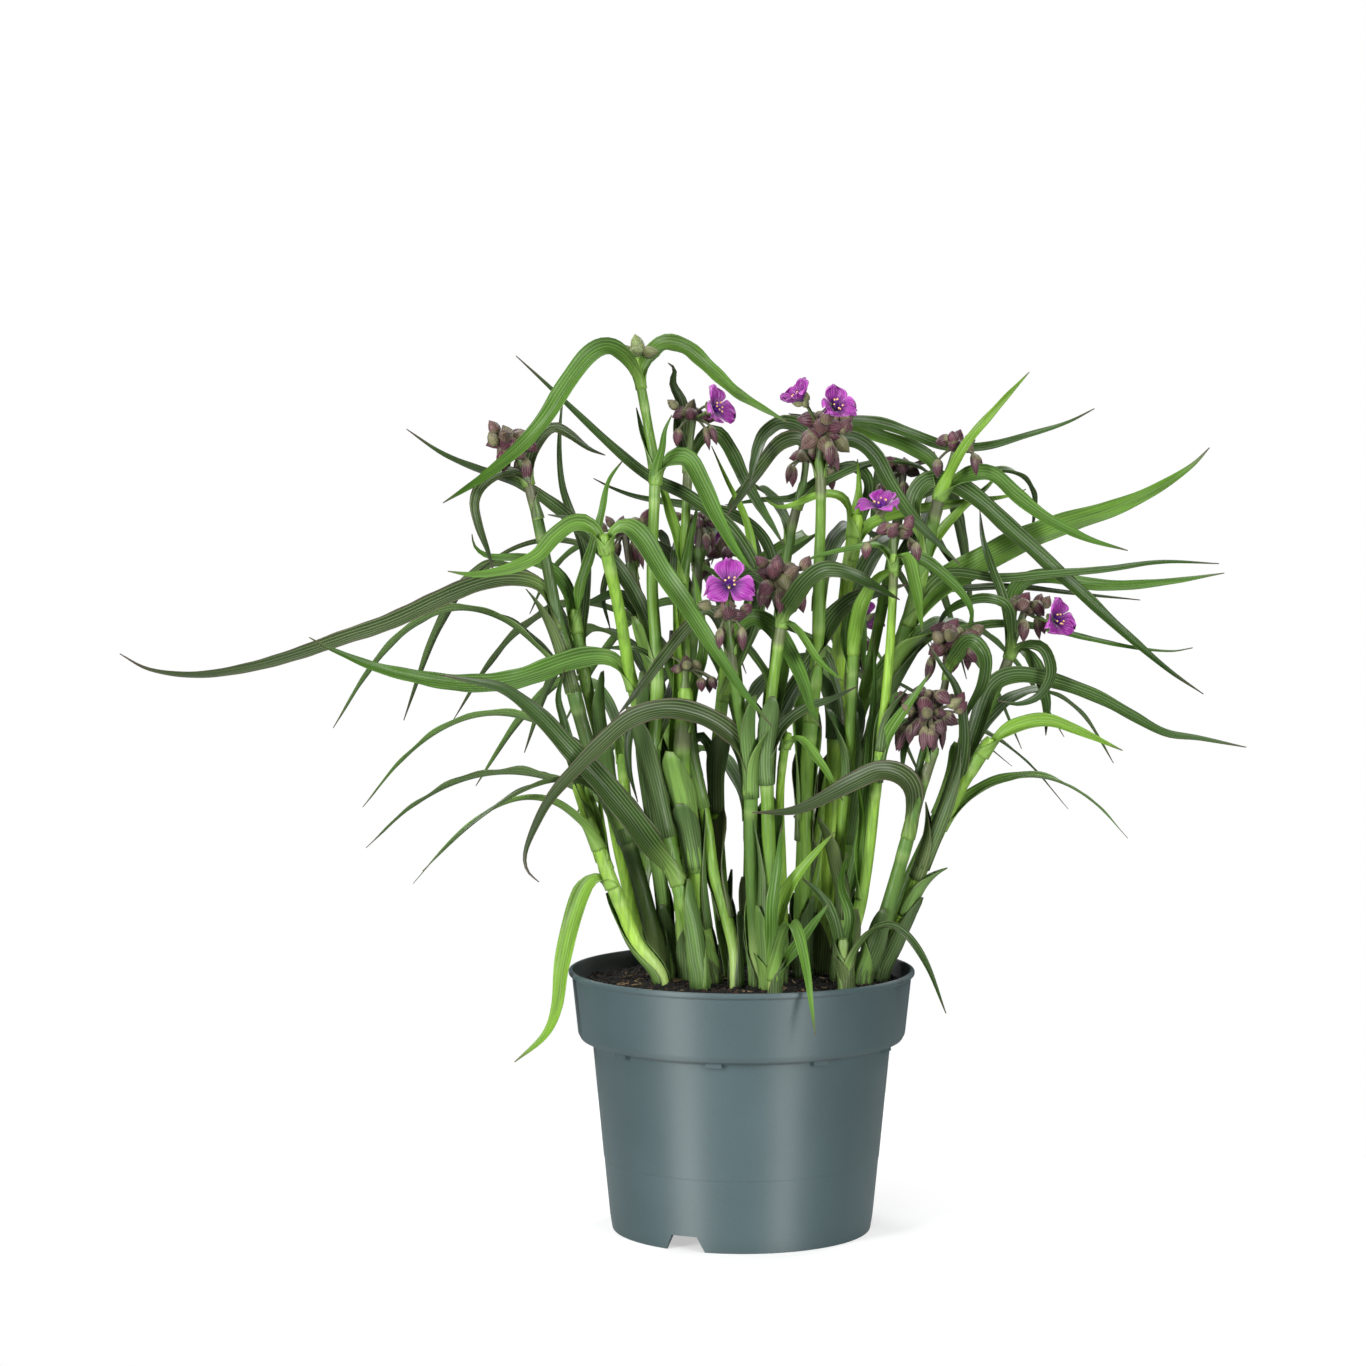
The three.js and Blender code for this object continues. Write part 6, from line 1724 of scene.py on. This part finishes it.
def pot_cutters():
    """The notches in the pot's foot and its drain holes, as bodies to cut away."""
    cutters = []
    foot, top = NOTCH_FOOT_WIDTH / 2, NOTCH_TOP_WIDTH / 2
    for i in range(NOTCHES):
        out = level_way(math.radians(FIRST_NOTCH_DEG + 360 / NOTCHES * i))
        aside = np.cross(UP, out)
        points = []
        for r in (FOOT_RADIUS - 8, FOOT_RADIUS + 8):
            for side, z in ((-foot, -2), (foot, -2), (top, NOTCH_HEIGHT), (-top, NOTCH_HEIGHT)):
                points.append(out * r + aside * side + UP * z)
        cutters.append(new_piece("notch_cut", points, faces=loft_faces(2, 4)))
    ring = circle(DRAIN_HOLE_RADIUS, 0, 24)[:, :2] + [DRAIN_RING_RADIUS, 0]
    for i in range(DRAIN_HOLES):
        aim = 360 / DRAIN_HOLES * (i + 0.5)
        cutters.append(block("drain_cut", ring, CHANNEL_HEIGHT - 4, CHANNEL_HEIGHT + 6, aim))
    cutter = join("pot_cuts", cutters)
    face_outward(cutter)
    return cutter


def pot_outline():
    """Half the pot's section: up its outer side from the middle of the base, and down its inner side."""
    outer = [(0, 0), (BASE_DISC_RADIUS, 0), (CHANNEL_INNER, CHANNEL_HEIGHT),
             (FOOT_RADIUS - 2, CHANNEL_HEIGHT), (FOOT_RADIUS - 1.8, 0), (FOOT_RADIUS, 0)]
    rise = (BODY_RADIUS - FOOT_RADIUS - 1.3) / (STEP_Z - 8)
    line_radius = FOOT_RADIUS + 1.3 + rise * (MOULD_LINE_Z - 8)
    outer += [(FOOT_RADIUS + 1.3, 8), (line_radius, MOULD_LINE_Z),
              (line_radius + MOULD_LINE, MOULD_LINE_Z + 0.3),
              (BODY_RADIUS, STEP_Z), (BODY_RADIUS + 6.4, STEP_Z + 2), (COLLAR_FOOT_RADIUS, COLLAR_FOOT_Z),
              (NECK_RADIUS, LIP_FOOT_Z - 0.5), (RIM_RADIUS, LIP_FOOT_Z + 0.4), (RIM_RADIUS, POT_HEIGHT - 0.8),
              (RIM_RADIUS - 0.8, POT_HEIGHT)]
    inner = [(NECK_RADIUS - 0.6, POT_HEIGHT), (NECK_RADIUS - WALL, POT_HEIGHT - 4),
             (COLLAR_FOOT_RADIUS - WALL, COLLAR_FOOT_Z + 1), (BODY_RADIUS - WALL, STEP_Z + 1),
             (FOOT_RADIUS - 0.2, CHANNEL_HEIGHT + WALL), (CHANNEL_INNER - 1, CHANNEL_HEIGHT + WALL),
             (BASE_DISC_RADIUS - 1, WALL), (0, WALL)]
    return rounded(outer + inner, EDGE_FILLET)


def stacking_lugs():
    """Small lugs under the collar's step, even round the pot."""
    half = LUG_WIDTH / 2
    foot = BODY_RADIUS - 1
    tip = foot + LUG_DEPTH
    ring = [(foot, -half), (tip, -half + EDGE_FILLET), (tip, half - EDGE_FILLET), (foot, half)]
    lugs = []
    for i in range(LUGS):
        lug = block("lug", ring, STEP_Z - LUG_HEIGHT, STEP_Z + 1.2, FIRST_LUG_DEG + 360 / LUGS * i)
        face_outward(lug)
        lug.data.materials.append(POT_PLASTIC)
        lug.data.shade_flat()
        lugs.append(lug)
    return lugs


def nursery_pot():
    """The round pot: a fine mould line, a step below the collar, drain cuts and small stacking lugs."""
    body = turned_body("pot_body", pot_outline(), POT_SIDES, POT_PLASTIC)
    cutter = pot_cutters()
    cut = body.modifiers.new("cuts", "BOOLEAN")
    cut.operation = "DIFFERENCE"
    cut.solver = "EXACT"
    cut.object = cutter
    bake(body, cut)
    bpy.data.objects.remove(cutter)
    body.data.shade_smooth()
    body.data.set_sharp_from_angle(angle=math.radians(50))
    hand_over("pot_moulded", [body, *stacking_lugs()], "pot")


# Soil

SOIL_RINGS = 30
SOIL_SIDES = 96
FIBRE_FREE_RINGS = 6
SOIL_WALL = NECK_RADIUS - WALL - 1
# The soil's lumps: how far apart they are and how high.
SWELL_PITCH, SWELL_HEIGHT = 34, 1.5
LUMP_PITCH, LUMP_HEIGHT = 7, 0.9
# Crumbs and fibres to a square metre.
CRUMBS = 1.6e5
FIBRES = 3e3


def crumb_shape():
    """One crumb of peat: a lumpy ball of 20 faces, 1 unit in radius."""
    draw = random.Random(7)
    corners = unit(np.array(FULL_CORNERS, float)) * [[draw.uniform(0.65, 1.15)] for _ in range(12)]
    work = bmesh.new()
    for corner in corners:
        work.verts.new(corner)
    bmesh.ops.convex_hull(work, input=work.verts)
    mesh = bpy.data.meshes.new("crumb_shape")
    work.to_mesh(mesh)
    work.free()
    return in_scene("crumb_shape", mesh)


def fibre_shape():
    """One fibre of peat: a thin bent thread, 1 unit long."""
    points = []
    steps = ((-0.5, 0.03, 0.1), (-0.15, 0.05, -0.02), (0.2, 0.045, 0.03), (0.5, 0.02, 0.14))
    for height, girth, bend in steps:
        for j in range(4):
            turn = math.tau * j / 4
            points.append((height / MM, (girth * math.cos(turn) + bend) / MM, girth * math.sin(turn) / MM))
    return new_piece("fibre_shape", points, faces=loft_faces(4, 4))


def soil_height(x, y):
    """How high the soil's lumpy top is at a place."""
    place = Vector((x, y, 0))
    swell = noise.fractal(place / SWELL_PITCH, 1, 2, 3)
    lumps = noise.fractal(place / LUMP_PITCH, 1, 2, 2)
    return SOIL_TOP + SWELL_HEIGHT * swell + LUMP_HEIGHT * lumps


def potting_soil():
    """The soil: its body in the pot, a lumpy top, crumbs and dry fibres on it."""
    points = [(0, 0, soil_height(0, 0))]
    for i in range(1, SOIL_RINGS + 1):
        ring = circle(SOIL_WALL * (i / SOIL_RINGS) ** 0.9, 0, SOIL_SIDES)
        points += [(x, y, soil_height(x, y)) for x, y, _ in ring]
    faces = [(0, 1 + j, 1 + (j + 1) % SOIL_SIDES) for j in range(SOIL_SIDES)]
    faces += loft_faces(SOIL_RINGS, SOIL_SIDES, 1, capped=False)
    middle = faces[:(SOIL_RINGS - FIBRE_FREE_RINGS) * SOIL_SIDES]
    crumbs = new_piece("soil_crumbs", points, faces=faces)
    fibres = new_piece("soil_fibres", points, faces=middle)
    crumb = crumb_shape()
    fibre = fibre_shape()
    grow(crumbs, STREWN, Shape=crumb, Density=CRUMBS, Smallest=0.0005, Largest=0.0021, Tilt=3.1, Seed=3,
         Material=PEAT)
    grow(fibres, STREWN, Shape=fibre, Density=FIBRES, Smallest=0.006, Largest=0.017, Tilt=0.3, Seed=5,
         Material=FIBRE)
    for shape in (crumb, fibre):
        bpy.data.objects.remove(shape)

    walls = [(SOIL_WALL, SOIL_TOP - 6), (COLLAR_FOOT_RADIUS - WALL - 0.8, COLLAR_FOOT_Z + 1.6),
             (BODY_RADIUS - WALL - 0.6, STEP_Z + 1.2), (FOOT_RADIUS - 0.8, CHANNEL_HEIGHT + WALL + 0.3),
             (CHANNEL_INNER - 1.5, CHANNEL_HEIGHT + WALL + 0.3), (BASE_DISC_RADIUS - 2, WALL + 0.3)]
    for r, z in walls:
        points += circle(r, z, SOIL_SIDES).tolist()
    faces = faces[:SOIL_SIDES] + loft_faces(SOIL_RINGS + len(walls), SOIL_SIDES, 1)
    # The fan round the middle closes the first ring already.
    faces.remove([*range(SOIL_SIDES, 0, -1)])
    body = new_piece("soil_body", points, faces=faces, material=PEAT)
    face_outward(body)
    hand_over("potting_soil_crumbs", [body, crumbs, fibres], "potting_soil")


nursery_pot()
potting_soil()
for shoot in shoots:
    leafy_shoot(shoot)
for head in heads:
    bud_head(head)
for flower in flowers:
    open_flower(flower)
for shape in (BUD_SHAPE, HAIR_SHAPE):
    bpy.data.objects.remove(shape)


# Floor, light and camera

FLOOR_RADIUS = 420
FLOOR_SIDES = 96
LENS = 96.25
CAMERA_PLACE = (-0.0323, -2.0, 0.4375)
CAMERA_DIP_DEG = 3.89
# A softbox: name, place, the height on the pot's axis that it faces, width, height and watts.
SOFTBOXES = [
  ("softbox_left", (-1.4, -1.43, 0.55), 0.2, 0.6, 1.1, 50),
  ("softbox_right", (1.12, -1.66, 0.55), 0.2, 0.5, 1.1, 38),
  ("softbox_front", (-0.3, -2.3, 1.9), 0.25, 1.2, 1.0, 12),
  ("softbox_top", (-0.3, 0.1, 2.2), 0.2, 1.6, 1.6, 25),
  ("softbox_back_left", (-1.2, 1.8, 1.7), 0.25, 1.0, 1.0, 24),
  ("softbox_back_right", (1.4, 1.7, 1.7), 0.25, 1.0, 1.0, 24),
]


def plain_floor():
    """A matt pale disc under the plant, which glows for the eye so that its edge can't be seen."""
    material, tree, skin = new_material("floor_plain_white")
    skin.inputs["Base Color"].default_value = sheet_colour("#c6c6c6")
    skin.inputs["Roughness"].default_value = 0.85
    skin.inputs["Emission Color"].default_value = (1, 1, 1, 1)
    direct = add(tree, "ShaderNodeLightPath").outputs["Is Camera Ray"]
    glow = add(tree, "ShaderNodeMapRange", {0: direct, 3: 0.05, 4: 0.5})
    tree.links.new(glow.outputs[0], skin.inputs["Emission Strength"])
    rim = circle(FLOOR_RADIUS, 0, FLOOR_SIDES)
    floor = new_piece("floor_plain", rim, faces=[range(FLOOR_SIDES)], material=material)


def softbox(name, place, goal_z, width, height, power):
    """A soft rectangular light that faces the pot's axis."""
    lamp = bpy.data.lights.new(name, "AREA")
    lamp.shape = "RECTANGLE"
    lamp.size = width
    lamp.size_y = height
    lamp.energy = power
    piece = in_scene(name, lamp)
    piece.location = place
    aim = Vector((0, 0, goal_z)) - Vector(place)
    piece.rotation_euler = aim.to_track_quat("-Z", "Y").to_euler()


def studio():
    """A white room that sheds little light of its own, with softboxes in front, above and behind."""
    world = bpy.data.worlds.new("studio_world")
    bpy.context.scene.world = world
    world.use_nodes = True
    tree = world.node_tree
    tree.nodes.clear()
    seen_white = add(tree, "ShaderNodeBackground", {"Color": (1, 1, 1, 1), "Strength": 1.0})
    shed = add(tree, "ShaderNodeBackground", {"Color": (1, 1, 1, 1), "Strength": 0.03})
    direct = add(tree, "ShaderNodeLightPath").outputs["Is Camera Ray"]
    both = add(tree, "ShaderNodeMixShader", {0: direct, 1: shed.outputs[0], 2: seen_white.outputs[0]})
    add(tree, "ShaderNodeOutputWorld", {"Surface": both.outputs[0]})
    for row in SOFTBOXES:
        softbox(*row)


def photographs_camera():
    """The photo's own view: from 2 m in front and a little above, looking 3.9 degrees down."""
    lens = bpy.data.cameras.new("camera_front")
    lens.lens = LENS
    lens.sensor_width = 36
    lens.clip_end = 200
    camera = in_scene("camera_front", lens)
    camera.location = CAMERA_PLACE
    camera.rotation_euler = (math.radians(90 - CAMERA_DIP_DEG), 0, 0)
    bpy.context.scene.camera = camera


plain_floor()
studio()
photographs_camera()
bpy.context.scene.view_settings.view_transform = "Standard"
